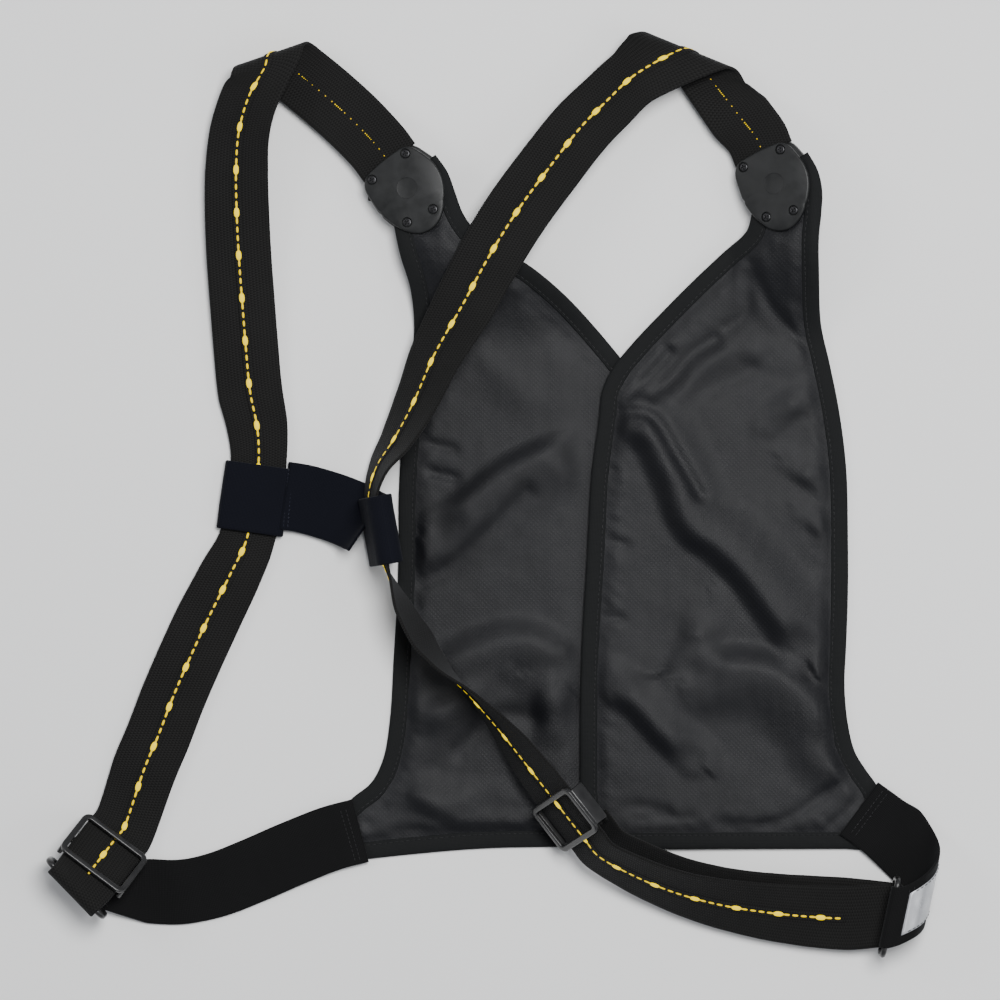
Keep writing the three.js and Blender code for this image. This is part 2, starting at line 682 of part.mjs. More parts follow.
add("left_front_panel", panel(LEFT_EDGE, leftHeight, MODULES.left), "satin");
add("right_front_panel", panel(RIGHT_EDGE, rightHeight, MODULES.right), "satin");
add("left_panel_binding", bindingBody(LEFT_EDGE.slice(1, -1), leftHeight), "binding");
add("right_panel_binding", bindingBody(RIGHT_EDGE.slice(1, -1), rightHeight), "binding");

add("hook_strip", box(16, 150, 0.7, [72, -60, 2.85]), "hook");
add("loop_strip", box(16, 150, 0.5, [71, -60, 3.75]), "hook");

add("left_shoulder_strap", strap(leftRun, MODULES.left), "webbing");
add("right_shoulder_strap", strap(rightRun, MODULES.right), "webbing");
const leftLit = litPart(leftRun, leftFront);
const rightLit = litPart(rightRun, rightFront);
add("left_light_line", band(leftLit, LIGHT_WIDTH, LIGHT_THICKNESS, LIGHT_LIFT, [-1, 1]), "light");
add("right_light_line", band(rightLit, LIGHT_WIDTH, LIGHT_THICKNESS, LIGHT_LIFT, [-1, 1]), "light");

add("left_slide_adjuster", slideAdjuster(LEFT_SLIDER), "plastic");
add("right_slide_adjuster", slideAdjuster(RIGHT_SLIDER), "plastic");
add("left_strap_tail", strapTail(LEFT_SLIDER), "webbing");
add("right_strap_tail", strapTail(RIGHT_SLIDER), "webbing");
add("left_side_ring", sideRing(LEFT_RING), "plastic");
add("right_side_ring", sideRing(RIGHT_RING), "plastic");
add("back_keeper", backKeeper(), "keeper");

const leftElasticRun = runOf([...leftElastic, ...leftElasticEnd, tailOf(leftElasticEnd, 4)]);
const rightElasticRun = runOf([...rightElastic, ...rightElasticEnd, tailOf(rightElasticEnd, 10)]);
add("left_side_elastic", band(leftElasticRun, STRAP_WIDTH, ELASTIC_THICKNESS), "elastic");
add("right_side_elastic", band(rightElasticRun, STRAP_WIDTH, ELASTIC_THICKNESS), "elastic");
const tape = (run, first, end) =>
  band(run.filter((f) => f.from >= first && f.from < end), TAPE_WIDTH, TAPE_THICKNESS, TAPE_LIFT);
add("left_reflective_tape", tape(leftElasticRun, 2, 6), "reflective");
add("right_reflective_tape", tape(rightElasticRun, 2, 8), "reflective");

buildModule("left");
buildModule("right");

// The origin is under the middle of the vest, on the surface it lies on.
const extent = new THREE.Box3().setFromObject(group);
const middle = extent.getCenter(new THREE.Vector3());
for (const mesh of group.children) {
  mesh.geometry.translate(-middle.x, -middle.y, -extent.min.z);
}

export default group;
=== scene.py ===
"""Light-up visibility harness vest, laid flat with its inner side up.

Layout numbers are in millimetres on the vest's own plan; world() turns them into metres in the
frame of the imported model.
"""
import math

import bmesh
import bpy
import numpy as np
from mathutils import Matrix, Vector, geometry, noise

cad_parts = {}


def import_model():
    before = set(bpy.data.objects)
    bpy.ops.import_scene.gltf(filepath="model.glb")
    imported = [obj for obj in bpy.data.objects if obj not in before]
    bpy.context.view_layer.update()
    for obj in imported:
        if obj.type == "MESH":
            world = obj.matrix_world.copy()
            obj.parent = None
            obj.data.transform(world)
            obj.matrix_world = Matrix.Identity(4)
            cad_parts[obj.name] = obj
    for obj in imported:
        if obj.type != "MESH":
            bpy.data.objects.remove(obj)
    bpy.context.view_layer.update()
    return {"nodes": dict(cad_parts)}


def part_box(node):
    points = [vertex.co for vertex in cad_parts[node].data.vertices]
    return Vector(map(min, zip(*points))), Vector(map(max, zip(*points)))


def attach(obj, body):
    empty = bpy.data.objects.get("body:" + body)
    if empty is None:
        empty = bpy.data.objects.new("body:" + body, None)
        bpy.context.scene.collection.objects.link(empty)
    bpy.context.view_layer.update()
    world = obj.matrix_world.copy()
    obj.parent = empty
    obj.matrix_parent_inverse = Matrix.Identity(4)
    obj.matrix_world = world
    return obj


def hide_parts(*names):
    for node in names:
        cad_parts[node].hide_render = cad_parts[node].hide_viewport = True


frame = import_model()

# ---------- layout, as in the solid model ----------

HOOK_CENTRE = np.array([72, -60, 2.85])
hook_low, hook_high = (np.array(corner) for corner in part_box("hook_strip"))
OFFSET = (hook_low + hook_high) * 500 - HOOK_CENTRE

STRAP_WIDTH = 38
STRAP_THICKNESS = 1.5
ELASTIC_THICKNESS = 1.2
LED_PITCH = 25
DASH_PITCH = 5
PINHOLE_PITCH = 1.25
PANEL_THICKNESS = 0.45
FACET_GAIN = 1.35
SEAL_RADIUS = 18
TAIL_THICKNESS = 1.35
KEEPER_THICKNESS = 1.15
PLATE_TOP = 3.78
PLATE_CREASE = 38
SCREW_TURN = 17
THREAD_SLOT = 1
WINDOW_SLOT, PINHOLE_SLOT, DIODE_SLOT = 1, 2, 3
CENTRE_BAR_LOW, CENTRE_BAR_HIGH = -6.4, -3.7
OUTER_BAR_LOW, OUTER_BAR_HIGH = 2.4, 5.0

MODULES = {
    "left": {"at": (-54, 180.5, 15.6), "turn": 0, "tilt": 12},
    "right": {"at": (160, 183, 18.6), "turn": -14, "tilt": 24},
}
SCREWS = [(-1, 20), (-21, 5), (0, -20), (15.5, -12.5)]

LEFT_EDGE = [
    (-38, 200), (-31, 190), (-26.5, 178), (-22, 166), (-15, 156), (-4, 147), (16, 136), (37, 119),
    (56, 99), (71, 81), (86, 62), (94, 44),
    (96, 15), (96, -30), (96, -80), (95, -130), (94, -170), (91, -191), (80, -203), (56, -204),
    (20, -204), (-14, -205), (-50, -208), (-78, -211), (-94, -213), (-97, -200), (-95, -184),
    (-87, -175), (-76, -166), (-69, -152), (-65, -128), (-63, -94), (-61, -59), (-60, -30),
    (-60, 0), (-58, 34), (-54, 69), (-51, 100), (-53, 122), (-59, 142), (-64, 166),
][::-1]
RIGHT_EDGE = [
    (146, 166), (143, 156), (130, 144), (114, 129), (94, 109), (77, 91), (65, 76), (59, 63), (57, 46),
    (53, 17), (50, -36), (47, -89), (46, -147), (47, -178), (52, -195), (66, -204), (95, -205),
    (130, -205), (165, -205), (200, -205), (215, -205), (222, -199), (224, -186), (221, -170),
    (213, -158), (207, -148), (203, -132), (201, -110), (202, -85), (203, -55), (203, -24),
    (202, 17), (198, 50), (192, 80), (187, 102), (185, 130), (184.5, 150), (186, 166), (186.5, 178),
    (184, 190), (178, 201),
]


def vec(*v):
    return np.array(v, float)


def unit(v):
    return v / np.linalg.norm(v, axis=-1, keepdims=True)


def heading(degrees, z=0.0):
    return vec(math.cos(math.radians(degrees)), math.sin(math.radians(degrees)), z)


def world(points):
    return (np.asarray(points, float) + OFFSET) / 1000


def smoothstep(low, high, value):
    t = np.clip((value - low) / (high - low), 0, 1)
    return t * t * (3 - 2 * t)


def wobble(points, scale, seed):
    """Smooth noise from -1 to 1 at places in millimetres."""
    return np.array([noise.noise(Vector(p) / scale + Vector((seed, 0, 0))) for p in points])


# ---------- meshes ----------

def make_object(name, vertices, faces, materials, strip=None, slots=None):
    mesh = bpy.data.meshes.new(name)
    mesh.from_pydata([tuple(v) for v in world(vertices)], [], faces)
    if strip is not None:
        attribute = mesh.attributes.new("strip", "FLOAT_VECTOR", "POINT")
        attribute.data.foreach_set("vector", np.asarray(strip, np.float32).ravel())
    for material in materials if isinstance(materials, (list, tuple)) else [materials]:
        mesh.materials.append(material)
    if slots is not None:
        mesh.polygons.foreach_set("material_index", slots)
    mesh.polygons.foreach_set("use_smooth", [True] * len(mesh.polygons))
    mesh.validate()
    mesh.update()
    made = bpy.data.objects.new(name, mesh)
    bpy.context.scene.collection.objects.link(made)
    return made


class Body:
    """Vertices and faces gathered from several parts of one piece."""

    def __init__(self):
        self.vertices = []
        self.faces = []
        self.slots = []
        self.strip = []

    def add(self, vertices, faces, slot=0, strip=None):
        base = len(self.vertices)
        self.vertices.extend(np.asarray(vertices, float))
        self.faces.extend([tuple(base + i for i in face) for face in faces])
        self.slots.extend([slot] * len(faces))
        rows = np.zeros((len(vertices), 3)) if strip is None else strip
        self.strip.extend(np.asarray(rows, float))

    def make(self, name, materials, crease=None):
        made = make_object(
            name, np.array(self.vertices), self.faces, materials, self.strip, self.slots
        )
        orient(made, crease)
        return made


def orient(made, crease=None, weld=False):
    """Faces out, and edges sharper than the crease angle kept crisp."""
    bm = bmesh.new()
    bm.from_mesh(made.data)
    if weld:
        bmesh.ops.remove_doubles(bm, verts=bm.verts, dist=2e-6)
    bmesh.ops.recalc_face_normals(bm, faces=bm.faces)
    if crease is not None:
        for edge in bm.edges:
            sharp = len(edge.link_faces) == 2 and edge.calc_face_angle(0) > math.radians(crease)
            edge.smooth = not sharp
    bm.to_mesh(made.data)
    bm.free()


def ring_faces(rings, size, closed_loop=False, caps=True):
    faces = []
    last = rings if closed_loop else rings - 1
    for i in range(last):
        j = (i + 1) % rings
        for k in range(size):
            n = (k + 1) % size
            faces.append((i * size + k, i * size + n, j * size + n, j * size + k))
    if caps and not closed_loop:
        faces.append(tuple(range(size)))
        faces.append(tuple((rings - 1) * size + k for k in reversed(range(size))))
    return faces


def box_body(body, size, centre, axes, radius):
    """A block with rounded edges, on its own axes (t, a, n)."""
    bm = bmesh.new()
    bmesh.ops.create_cube(bm, size=1)
    bmesh.ops.scale(bm, vec=Vector(size), verts=bm.verts)
    bmesh.ops.bevel(
        bm, geom=bm.edges[:] + bm.verts[:], offset=radius, segments=3, profile=0.5, affect="EDGES"
    )
    bm.verts.index_update()
    local = np.array([v.co for v in bm.verts]) + np.asarray(centre, float)
    faces = [tuple(v.index for v in f.verts) for f in bm.faces]
    bm.free()
    p, t, a, n = axes
    body.add(p + local[:, :1] * t + local[:, 1:2] * a + local[:, 2:] * n, faces)


# ---------- runs: a line with its width and outward normal ----------

def place(x, y, z, roll=0, bunch=1):
    return {"p": vec(x, y, z), "roll": roll, "bunch": bunch}


def rolled_across(tangent, roll):
    level = unit(vec(-tangent[1], tangent[0], 0)) * math.cos(math.radians(roll))
    level[2] = math.sin(math.radians(roll))
    return unit(level - tangent * level.dot(tangent))


class Curve:
    """A centripetal Catmull-Rom curve through points."""

    def __init__(self, points):
        self.points = np.array(points, float)
        self.last = len(points) - 1

    def at(self, t):
        index = min(int(t * self.last), self.last - 1)
        u = t * self.last - index
        p = self.points
        x1, x2 = p[index], p[index + 1]
        x0 = p[index - 1] if index > 0 else 2 * p[0] - p[1]
        x3 = p[index + 2] if index + 2 <= self.last else 2 * p[-1] - p[-2]
        d0, d1, d2 = (math.sqrt(np.linalg.norm(b - a)) for a, b in ((x0, x1), (x1, x2), (x2, x3)))
        d1 = max(d1, 1e-4)
        d0 = d0 if d0 > 1e-4 else d1
        d2 = d2 if d2 > 1e-4 else d1
        t1 = ((x1 - x0) / d0 - (x2 - x0) / (d0 + d1) + (x2 - x1) / d1) * d1
        t2 = ((x2 - x1) / d1 - (x3 - x1) / (d1 + d2) + (x3 - x2) / d2) * d1
        cubic = 2 * x1 - 2 * x2 + t1 + t2
        square = -3 * x1 + 3 * x2 - 2 * t1 - t2
        return ((cubic * u + square) * u + t1) * u + x1

    def tangent(self, t):
        return unit(self.at(min(t + 1e-4, 1)) - self.at(max(t - 1e-4, 0)))


def softened(rows, passes):
    rows = rows.copy()
    for _ in range(passes):
        rows[1:-1] = 0.25 * rows[:-2] + 0.5 * rows[1:-1] + 0.25 * rows[2:]
    return rows


def at_length(s, lengths, rows):
    """The three columns of rows, read at one length."""
    return np.array([np.interp(s, lengths, rows[:, k]) for k in range(3)])


class Run:
    """Finely spaced frames along a band: p, t, a (width, unit where square), n and length s."""

    def __init__(self, p, a, source):
        self.p = p
        self.a = a
        self.source = source
        self.t = unit(np.gradient(p, axis=0))
        self.n = unit(np.cross(self.t, a))
        steps = np.linalg.norm(np.diff(p, axis=0), axis=1)
        self.s = np.concatenate([[0], np.cumsum(steps)])

    @classmethod
    def through(cls, places, step=2.4):
        curve = Curve([s["p"] for s in places])
        last = curve.last
        widths = []
        for i, s in enumerate(places):
            if "a" in s:
                widths.append(s["a"])
            else:
                widths.append(rolled_across(curve.tangent(i / last), s["roll"]) * s["bunch"])
        p, a, source = [], [], []
        for i in range(last):
            gap = np.linalg.norm(curve.points[i + 1] - curve.points[i])
            parts = max(2, math.ceil(gap / step))
            for k in range(parts):
                u = k / parts
                p.append(curve.at((i + u) / last))
                a.append(widths[i] * (1 - u) + widths[i + 1] * u)
                source.append(i)
        p.append(curve.points[-1])
        a.append(widths[-1])
        source.append(last)
        return cls(np.array(p), softened(np.array(a), 3), np.array(source))

    def part(self, keep):
        made = Run.__new__(Run)
        for key in ("p", "a", "source", "t", "n", "s"):
            setattr(made, key, getattr(self, key)[keep])
        return made

    def at(self, s):
        """Place, direction, width and normal at one length along the run."""
        rows = [at_length(s, self.s, r) for r in (self.p, self.t, self.a, self.n)]
        return rows[0], unit(rows[1]), rows[2], unit(rows[3])

    def nearest(self, x, y):
        return self.s[np.argmin(np.hypot(self.p[:, 0] - x, self.p[:, 1] - y))]

    def surface(self, u, w):
        """The line at u millimetres across and w out from the middle of the band."""
        return self.p + self.a * u + self.n * w


def band_section(width, thickness, columns=12, edge=0.0):
    """A flat band's outline: rounded edges, with a selvedge that stands proud by edge."""
    half = width / 2
    across = half * np.sin(np.linspace(-math.pi / 2, math.pi / 2, columns))
    inside = np.clip((half - np.abs(across)) / (thickness * 0.5), 0, 1)
    rim = thickness / 2 * np.sqrt(1 - (1 - inside) ** 2)
    rim = rim + edge * np.exp(-(((half - np.abs(across)) - 1.4) / 0.9) ** 2) * (inside > 0.9)
    top = [(u, w, 1) for u, w in zip(across, rim)]
    bottom = [(u, -w, -1) for u, w in zip(across[::-1], rim[::-1])][1:-1]
    return np.array(top + bottom)


def add_band(body, run, width, thickness, lift=0.0, columns=12, edge=0.0, ruffle=0.0):
    section = band_section(width, thickness, columns, edge)
    size = len(section)
    vertices, strip = [], []
    for i in range(len(run.p)):
        waver = ruffle * noise.noise(Vector(run.p[i]) / 9)
        lean = ruffle * 0.6 * noise.noise(Vector(run.p[i]) / 14 + Vector((9, 3, 0)))
        for u, w, side in section:
            tilt = lean * u / width * 2
            vertices.append(run.p[i] + run.a[i] * u + run.n[i] * (w + lift + waver + tilt))
            strip.append((u, run.s[i], side))
    body.add(vertices, ring_faces(len(run.p), size), strip=strip)


def fold_up(start, travel, axis_heading, radius, steps=6):
    axis = heading(axis_heading)
    along = travel.dot(axis)
    bulge = travel - axis * along
    outward = np.linalg.norm(bulge)
    bulge = bulge / outward
    square = vec(travel[1], -travel[0], 0)
    ruling = axis * np.sign(square.dot(axis)) / outward
    places = []
    for i in range(steps + 1):
        angle = math.pi * i / steps
        p = start + axis * (radius * angle * along / outward) + bulge * radius * math.sin(angle)
        p[2] += radius * (1 - math.cos(angle))
        places.append({"p": p, "a": ruling.copy()})
    return places


def wrap(centre, travel, across, radius, steps=6):
    normal = unit(np.cross(travel, across))
    forward = unit(np.cross(across, normal))
    places = []
    for i in range(steps + 1):
        angle = math.pi * i / steps
        offset = normal * math.cos(angle) + forward * math.sin(angle)
        places.append({"p": centre + offset * radius, "a": across.copy()})
    return places


def module_exit(side, bearing, distances):
    at = vec(*MODULES[side]["at"])
    tilt = math.radians(MODULES[side]["tilt"])
    down = heading(bearing)
    down[2] = down[0] * math.tan(tilt)
    down = unit(down)
    across = unit(np.cross(vec(math.sin(tilt), 0, -math.cos(tilt)), down))
    return [{"p": at + down * d, "a": across} for d in distances]


def slider_axes(centre, bearing, fall, roll):
    t = heading(bearing) * math.cos(math.radians(fall))
    t[2] = math.sin(math.radians(fall))
    a = rolled_across(t, roll)
    return vec(*centre), t, a, np.cross(t, a)


def on_slider(axes, d, depth=0.0):
    p, t, a, n = axes
    return {"p": p + t * d + n * depth, "a": a.copy()}


LEFT_SLIDER = slider_axes((-232, -208, 19), -127, 38, 0)
RIGHT_SLIDER = slider_axes((39.5, -184, 33), -52, 0, 56)
RING_SPACING = 20
RING_WIRE = 1.8
LEFT_RING = {"at": vec(-246.5, -226, 22.6), "axis": -46}
RIGHT_RING = {"at": vec(226, -243, 19), "axis": -102}
STRAP_RADIUS = RING_WIRE + 1.4 + 0.9
ELASTIC_RADIUS = RING_WIRE + 0.4 + 0.7


def ring_bar(ring, side):
    return ring["at"] + vec(0, 0, side * RING_SPACING / 2)


left_fold = fold_up(vec(-127, 255, 8.2), heading(140), 199, 5.5)
left_down = [
    place(-146, 234, 18, 24), place(-152, 214, 15.5, 20), place(-154, 192, 13, 12),
    place(-154, 168, 10, 5), place(-153, 142, 7.5), place(-151, 114, 6), place(-149, 88, 4.8),
    place(-146.5, 62, 4), place(-142.5, 42, 3.4, 0, 0.94), place(-141.5, 24, 3.3, 0, 0.86),
    place(-144, 0, 3.3, 0, 0.86), place(-149, -25, 3.3, 0, 0.86), place(-158, -44, 3.3, 0, 0.95),
    place(-172, -72, 3.4), place(-183, -96, 3.5), place(-192, -117, 3.6), place(-200, -138, 3.6),
    place(-208, -157, 3.8),
]
left_axis = heading(LEFT_RING["axis"])
left_front = [
    *module_exit("left", 126, [18.6, 22, 29]),
    place(-86, 220, 7.6, 180), place(-102, 234.5, 7.4, 180),
    *left_fold, *left_down,
    *[on_slider(LEFT_SLIDER, d) for d in (-24, -16, -8, 0, 8, 17)],
]
left_places = [
    *left_front,
    *wrap(ring_bar(LEFT_RING, 1), vec(-0.7, -0.58, 0.2), left_axis * 0.96, STRAP_RADIUS),
    on_slider(LEFT_SLIDER, 15, -10), on_slider(LEFT_SLIDER, 9, -10),
]

right_fold = fold_up(vec(116.5, 252.5, 9.5), heading(116), 158, 5)
right_down = [
    place(77, 245, 20.5, 20), place(62, 231, 21, 16), place(47, 216, 22, 10), place(28, 192, 23, 4),
    place(9, 166, 25.5, 3), place(-7, 140, 26.5, 7), place(-22, 112, 26, 18), place(-38, 83, 25, 36),
    place(-50, 55, 24, 48), place(-61, 34, 23.5, 60), place(-71, 18, 23, 72),
    place(-75.5, 2, 22.6, 78), place(-74.5, -16, 22.6, 80), place(-67, -38, 23.5, 84),
    place(-57, -62, 24.5, 104), place(-46, -81, 25.5, 110), place(-34, -97, 25.5, 100),
    place(-18, -113, 25.5, 84), place(-3, -130, 26.5, 72), place(9, -145, 28.5, 62),
]
right_on = [on_slider(RIGHT_SLIDER, d) for d in (-27, -18, -9, 0, 9, 18, 27)]
right_low = [
    place(74, -216, 28.5, 54), place(99, -227, 24, 48), place(126, -235, 20, 38),
    place(153, -240, 16.5, 26), place(178, -243, 14, 15), place(202, -244.5, 12.5, 6),
]
right_axis = heading(RIGHT_RING["axis"])
right_wrap = wrap(ring_bar(RIGHT_RING, -1), heading(-12), -right_axis, STRAP_RADIUS)
right_front = [
    *module_exit("right", 112, [18.6, 22, 29]), place(139, 223, 9.4, 180),
    *right_fold, *right_down, *right_on, *right_low,
]


def returning(places):
    """The webbing's second layer under the lower right strap, from the ring back to the slider."""
    curve = Curve([s["p"] for s in places])
    rows = []
    for i, s in enumerate(places[:-1]):
        tangent = curve.tangent(i / curve.last)
        across = s["a"] if "a" in s else rolled_across(tangent, s["roll"])
        normal = unit(np.cross(tangent, across))
        near = min(max(1 - (i - 3) / 4, 0), 1)
        depth = 10.6 - 5.2 * (1 - near)
        rows.append({"p": s["p"] - normal * depth + across * 4 * (1 - near), "a": across})
    return rows[::-1]


right_places = [
    *right_front, *right_wrap, *returning([*right_on[4:], *right_low, right_wrap[0]]),
]
left_run = Run.through(left_places)
right_run = Run.through(right_places)

left_elastic_run = Run.through([
    place(-82, -194, 4.5, 180), place(-99, -198.5, 4.4, 180), place(-123, -208, 3, 180),
    place(-146, -218, 2.3, 180), place(-167, -226, 2.2, 180), place(-187, -230, 2.2, 180),
    place(-206, -229.5, 2.6, 180),
    *wrap(ring_bar(LEFT_RING, -1), heading(200), left_axis * -0.92, ELASTIC_RADIUS),
])
right_bend = fold_up(vec(240, -206, 2.4), heading(-50), RIGHT_RING["axis"], 14.8)
for i, bend_place in enumerate(right_bend):
    bend_place["a"] = bend_place["a"] * (1 - 0.04 * i)
right_elastic_run = Run.through([
    place(209, -181, 4.6, 180), place(224, -192, 4.6, 180), *right_bend,
    *wrap(ring_bar(RIGHT_RING, 1), heading(174), right_axis * 0.95, ELASTIC_RADIUS),
])

# ---------- camera, floor and lights ----------

CAMERA_HEIGHT = 3.2
VIEW_WIDTH = 0.585


def build_stage():
    camera = bpy.data.objects.new("camera", bpy.data.cameras.new("camera"))
    camera.location = Vector(world((-0.6, -0.9, 0))) + Vector((0, 0, CAMERA_HEIGHT))
    camera.data.sensor_width = 36
    camera.data.lens = 36 * CAMERA_HEIGHT / VIEW_WIDTH
    bpy.context.scene.collection.objects.link(camera)
    bpy.context.scene.camera = camera

    floor = make_object(
        "floor", [(-4000, -4000, 0), (4000, -4000, 0), (4000, 4000, 0), (-4000, 4000, 0)],
        [(0, 1, 2, 3)], floor_finish(),
    )
    floor.location.z = -float(world((0, 0, 0))[2]) - 0.0002

    for name, at, size, power in (
        ("key_light", (0.45, 0.6, 2.4), 1.1, 72),
        ("side_light", (-1.9, 0.6, 1.3), 1.0, 9),
        ("fill_light", (1.8, -0.5, 1.3), 1.4, 9),
    ):
        light = bpy.data.lights.new(name, "AREA")
        light.shape = "DISK"
        light.size = size
        light.energy = power
        lamp = bpy.data.objects.new(name, light)
        lamp.location = at
        lamp.rotation_euler = (-Vector(at)).to_track_quat("-Z", "Y").to_euler()
        bpy.context.scene.collection.objects.link(lamp)

    sky = bpy.data.worlds.new("studio")
    sky.use_nodes = True
    sky.node_tree.nodes["Background"].inputs["Color"].default_value = (0.9, 0.93, 1.0, 1)
    sky.node_tree.nodes["Background"].inputs["Strength"].default_value = 0.3
    bpy.context.scene.world = sky


# ---------- materials ----------

class Finish:
    """A Principled material with short names for its pattern nodes. Lengths are in millimetres."""

    def __init__(self, name, colour, roughness, **sockets):
        self.material = bpy.data.materials.new(name)
        self.material.use_nodes = True
        self.tree = self.material.node_tree
        self.shader = self.tree.nodes["Principled BSDF"]
        self.set("Base Color", (*colour, 1))
        self.set("Roughness", roughness)
        for key, value in sockets.items():
            self.set(key.replace("_", " ").title().replace("Ior", "IOR"), value)

    def set(self, socket, value):
        self.shader.inputs[socket].default_value = value

    def node(self, kind, *inputs, **settings):
        made = self.tree.nodes.new(kind)
        for key, value in settings.items():
            setattr(made, key, value)
        for i, value in enumerate(inputs):
            self.join(value, made.inputs[i])
        return made

    def join(self, value, socket):
        if isinstance(value, bpy.types.NodeSocket):
            self.tree.links.new(value, socket)
        elif value is not None:
            socket.default_value = value

    def sum(self, operation, *values):
        return self.node("ShaderNodeMath", *values, operation=operation).outputs[0]

    def parts(self, vector):
        return self.node("ShaderNodeSeparateXYZ", vector).outputs

    def strip(self):
        """Millimetres across, millimetres along and which face, on a piece that has them."""
        found = self.node("ShaderNodeAttribute", attribute_name="strip")
        return self.parts(found.outputs["Vector"])

    def place(self):
        """The piece's own coordinates in millimetres."""
        own = self.node("ShaderNodeTexCoord").outputs["Object"]
        scaled = self.node("ShaderNodeVectorMath", own, operation="SCALE")
        scaled.inputs["Scale"].default_value = 1000
        return scaled.outputs[0]

    def noise(self, vector, size, detail=3.0):
        made = self.node("ShaderNodeTexNoise")
        self.join(vector, made.inputs["Vector"])
        made.inputs["Scale"].default_value = 1 / size
        made.inputs["Detail"].default_value = detail
        return made.outputs[0]

    def ribs(self, value, pitch, shift=0.0):
        turned = self.sum("MULTIPLY_ADD", value, 2 * math.pi / pitch, shift)
        return self.sum("MULTIPLY_ADD", self.sum("SINE", turned), 0.5, 0.5)

    def span(self, value, low, high, new_low, new_high):
        made = self.node("ShaderNodeMapRange")
        for socket, item in zip(made.inputs, (value, low, high, new_low, new_high)):
            self.join(item, socket)
        return made.outputs[0]

    def blend(self, factor, dark, light):
        made = self.node("ShaderNodeMix", data_type="RGBA")
        self.join(factor, made.inputs["Factor"])
        made.inputs[6].default_value = (*dark, 1)
        made.inputs[7].default_value = (*light, 1)
        return made.outputs[2]

    def colour(self, socket):
        self.join(socket, self.shader.inputs["Base Color"])

    def rough(self, socket):
        self.join(socket, self.shader.inputs["Roughness"])

    def bump(self, height, depth, strength=1.0):
        made = self.node("ShaderNodeBump")
        made.inputs["Strength"].default_value = strength
        made.inputs["Distance"].default_value = depth / 1000
        self.join(height, made.inputs["Height"])
        previous = self.shader.inputs["Normal"].links
        if previous:
            self.join(previous[0].from_socket, made.inputs["Normal"])
        self.join(made.outputs[0], self.shader.inputs["Normal"])


def satin_finish():
    """Coated woven nylon: a fine dobby weave with small lozenges, satin sheen."""
    f = Finish("satin_nylon", (0.004, 0.004, 0.005), 0.4, sheen_weight=0.06, sheen_roughness=0.35,
               sheen_tint=(0.55, 0.6, 0.72, 1), specular_ior_level=0.32)
    at = f.place()
    x, y, _ = f.parts(at)
    warp = f.ribs(x, 0.62)
    weft = f.ribs(y, 0.58)
    over = f.ribs(f.sum("ADD", x, y), 2.6)
    under = f.ribs(f.sum("SUBTRACT", x, y), 2.6)
    lozenge = f.sum("MULTIPLY", over, under)
    weave = f.sum("MULTIPLY_ADD", f.sum("MULTIPLY", warp, weft), 0.6, f.sum("MULTIPLY", lozenge, 0.4))
    cloud = f.noise(at, 26, 2)
    # Colour: a random cloud tone, plus painted shade: the weave's valleys, where its bump is low, are
    # painted darker than its raised threads.
    f.colour(f.blend(f.sum("MULTIPLY_ADD", cloud, 0.35, f.sum("MULTIPLY", weave, 0.8)),
                     (0.0012, 0.0013, 0.0018), (0.0095, 0.01, 0.0132)))
    f.rough(f.span(f.sum("MULTIPLY_ADD", cloud, 0.4, weave), 0.2, 1.2, 0.5, 0.36))
    f.bump(weave, 0.16, 1.0)
    f.bump(f.noise(at, 3.5, 4), 0.16, 0.4)
    return f.material


def woven_finish(name, dark, light, rib, cord_pitch, depth, roughness=0.82, sheen=0.05, shed=True):
    """Narrow woven tape: ribs across its width, broken by the warp's cords, fuzzy at its edges."""
    f = Finish(name, dark, roughness, sheen_weight=sheen, sheen_roughness=0.5,
               sheen_tint=(0.8, 0.82, 0.86, 1), specular_ior_level=0.1)
    u, v, _ = f.strip()
    cords = f.ribs(u, cord_pitch)
    cord = f.sum("ROUND", f.sum("DIVIDE", u, cord_pitch))
    step = f.sum("MULTIPLY", cord, math.pi if shed else 0.0)
    turned = f.sum("ADD", f.sum("MULTIPLY", v, 2 * math.pi / rib), step)
    ribs = f.sum("MULTIPLY_ADD", f.sum("SINE", turned), 0.5, 0.5)
    weave = f.sum("MULTIPLY_ADD", cords, 0.35, f.sum("MULTIPLY", ribs, 0.65))
    at = f.place()
    fuzz = f.noise(at, 0.5, 4)
    cloud = f.noise(at, 30, 2)
    # A random cloud mottle, plus painted shade: the colour follows the rib, cord and fuzz bumps and is
    # painted darker in their low places.
    mottle_and_rib_shade = f.sum("MULTIPLY_ADD", cloud, 0.25, f.sum("MULTIPLY", weave, 0.6))
    amount = f.sum("MULTIPLY_ADD", fuzz, 0.3, mottle_and_rib_shade)
    f.colour(f.blend(amount, dark, light))
    f.rough(f.span(weave, 0, 1, roughness + 0.08, roughness - 0.1))
    f.bump(weave, depth, 0.8)
    f.bump(fuzz, 0.12, 0.5)
    return f.material


def binding_finish():
    f = Finish("binding_tape", (0.004, 0.0042, 0.0044), 0.78, sheen_weight=0.07, sheen_roughness=0.45,
               sheen_tint=(0.7, 0.76, 0.78, 1), specular_ior_level=0.16)
    u, v, _ = f.strip()
    at = f.place()
    ribs = f.ribs(v, 0.75)
    cords = f.ribs(u, 0.9)
    fuzz = f.noise(at, 0.6, 4)
    weave = f.sum("MULTIPLY_ADD", ribs, 0.55, f.sum("MULTIPLY", cords, 0.45))
    # Colour: a random fuzz tone, plus painted shade in the ribs' low places, where the weave bump is low.
    f.colour(f.blend(f.sum("MULTIPLY_ADD", fuzz, 0.4, f.sum("MULTIPLY", weave, 0.5)),
                     (0.0026, 0.0028, 0.003), (0.0125, 0.0135, 0.014)))
    f.bump(weave, 0.14, 0.6)
    f.bump(f.noise(at, 4.5, 3), 0.7, 0.5)
    return f.material


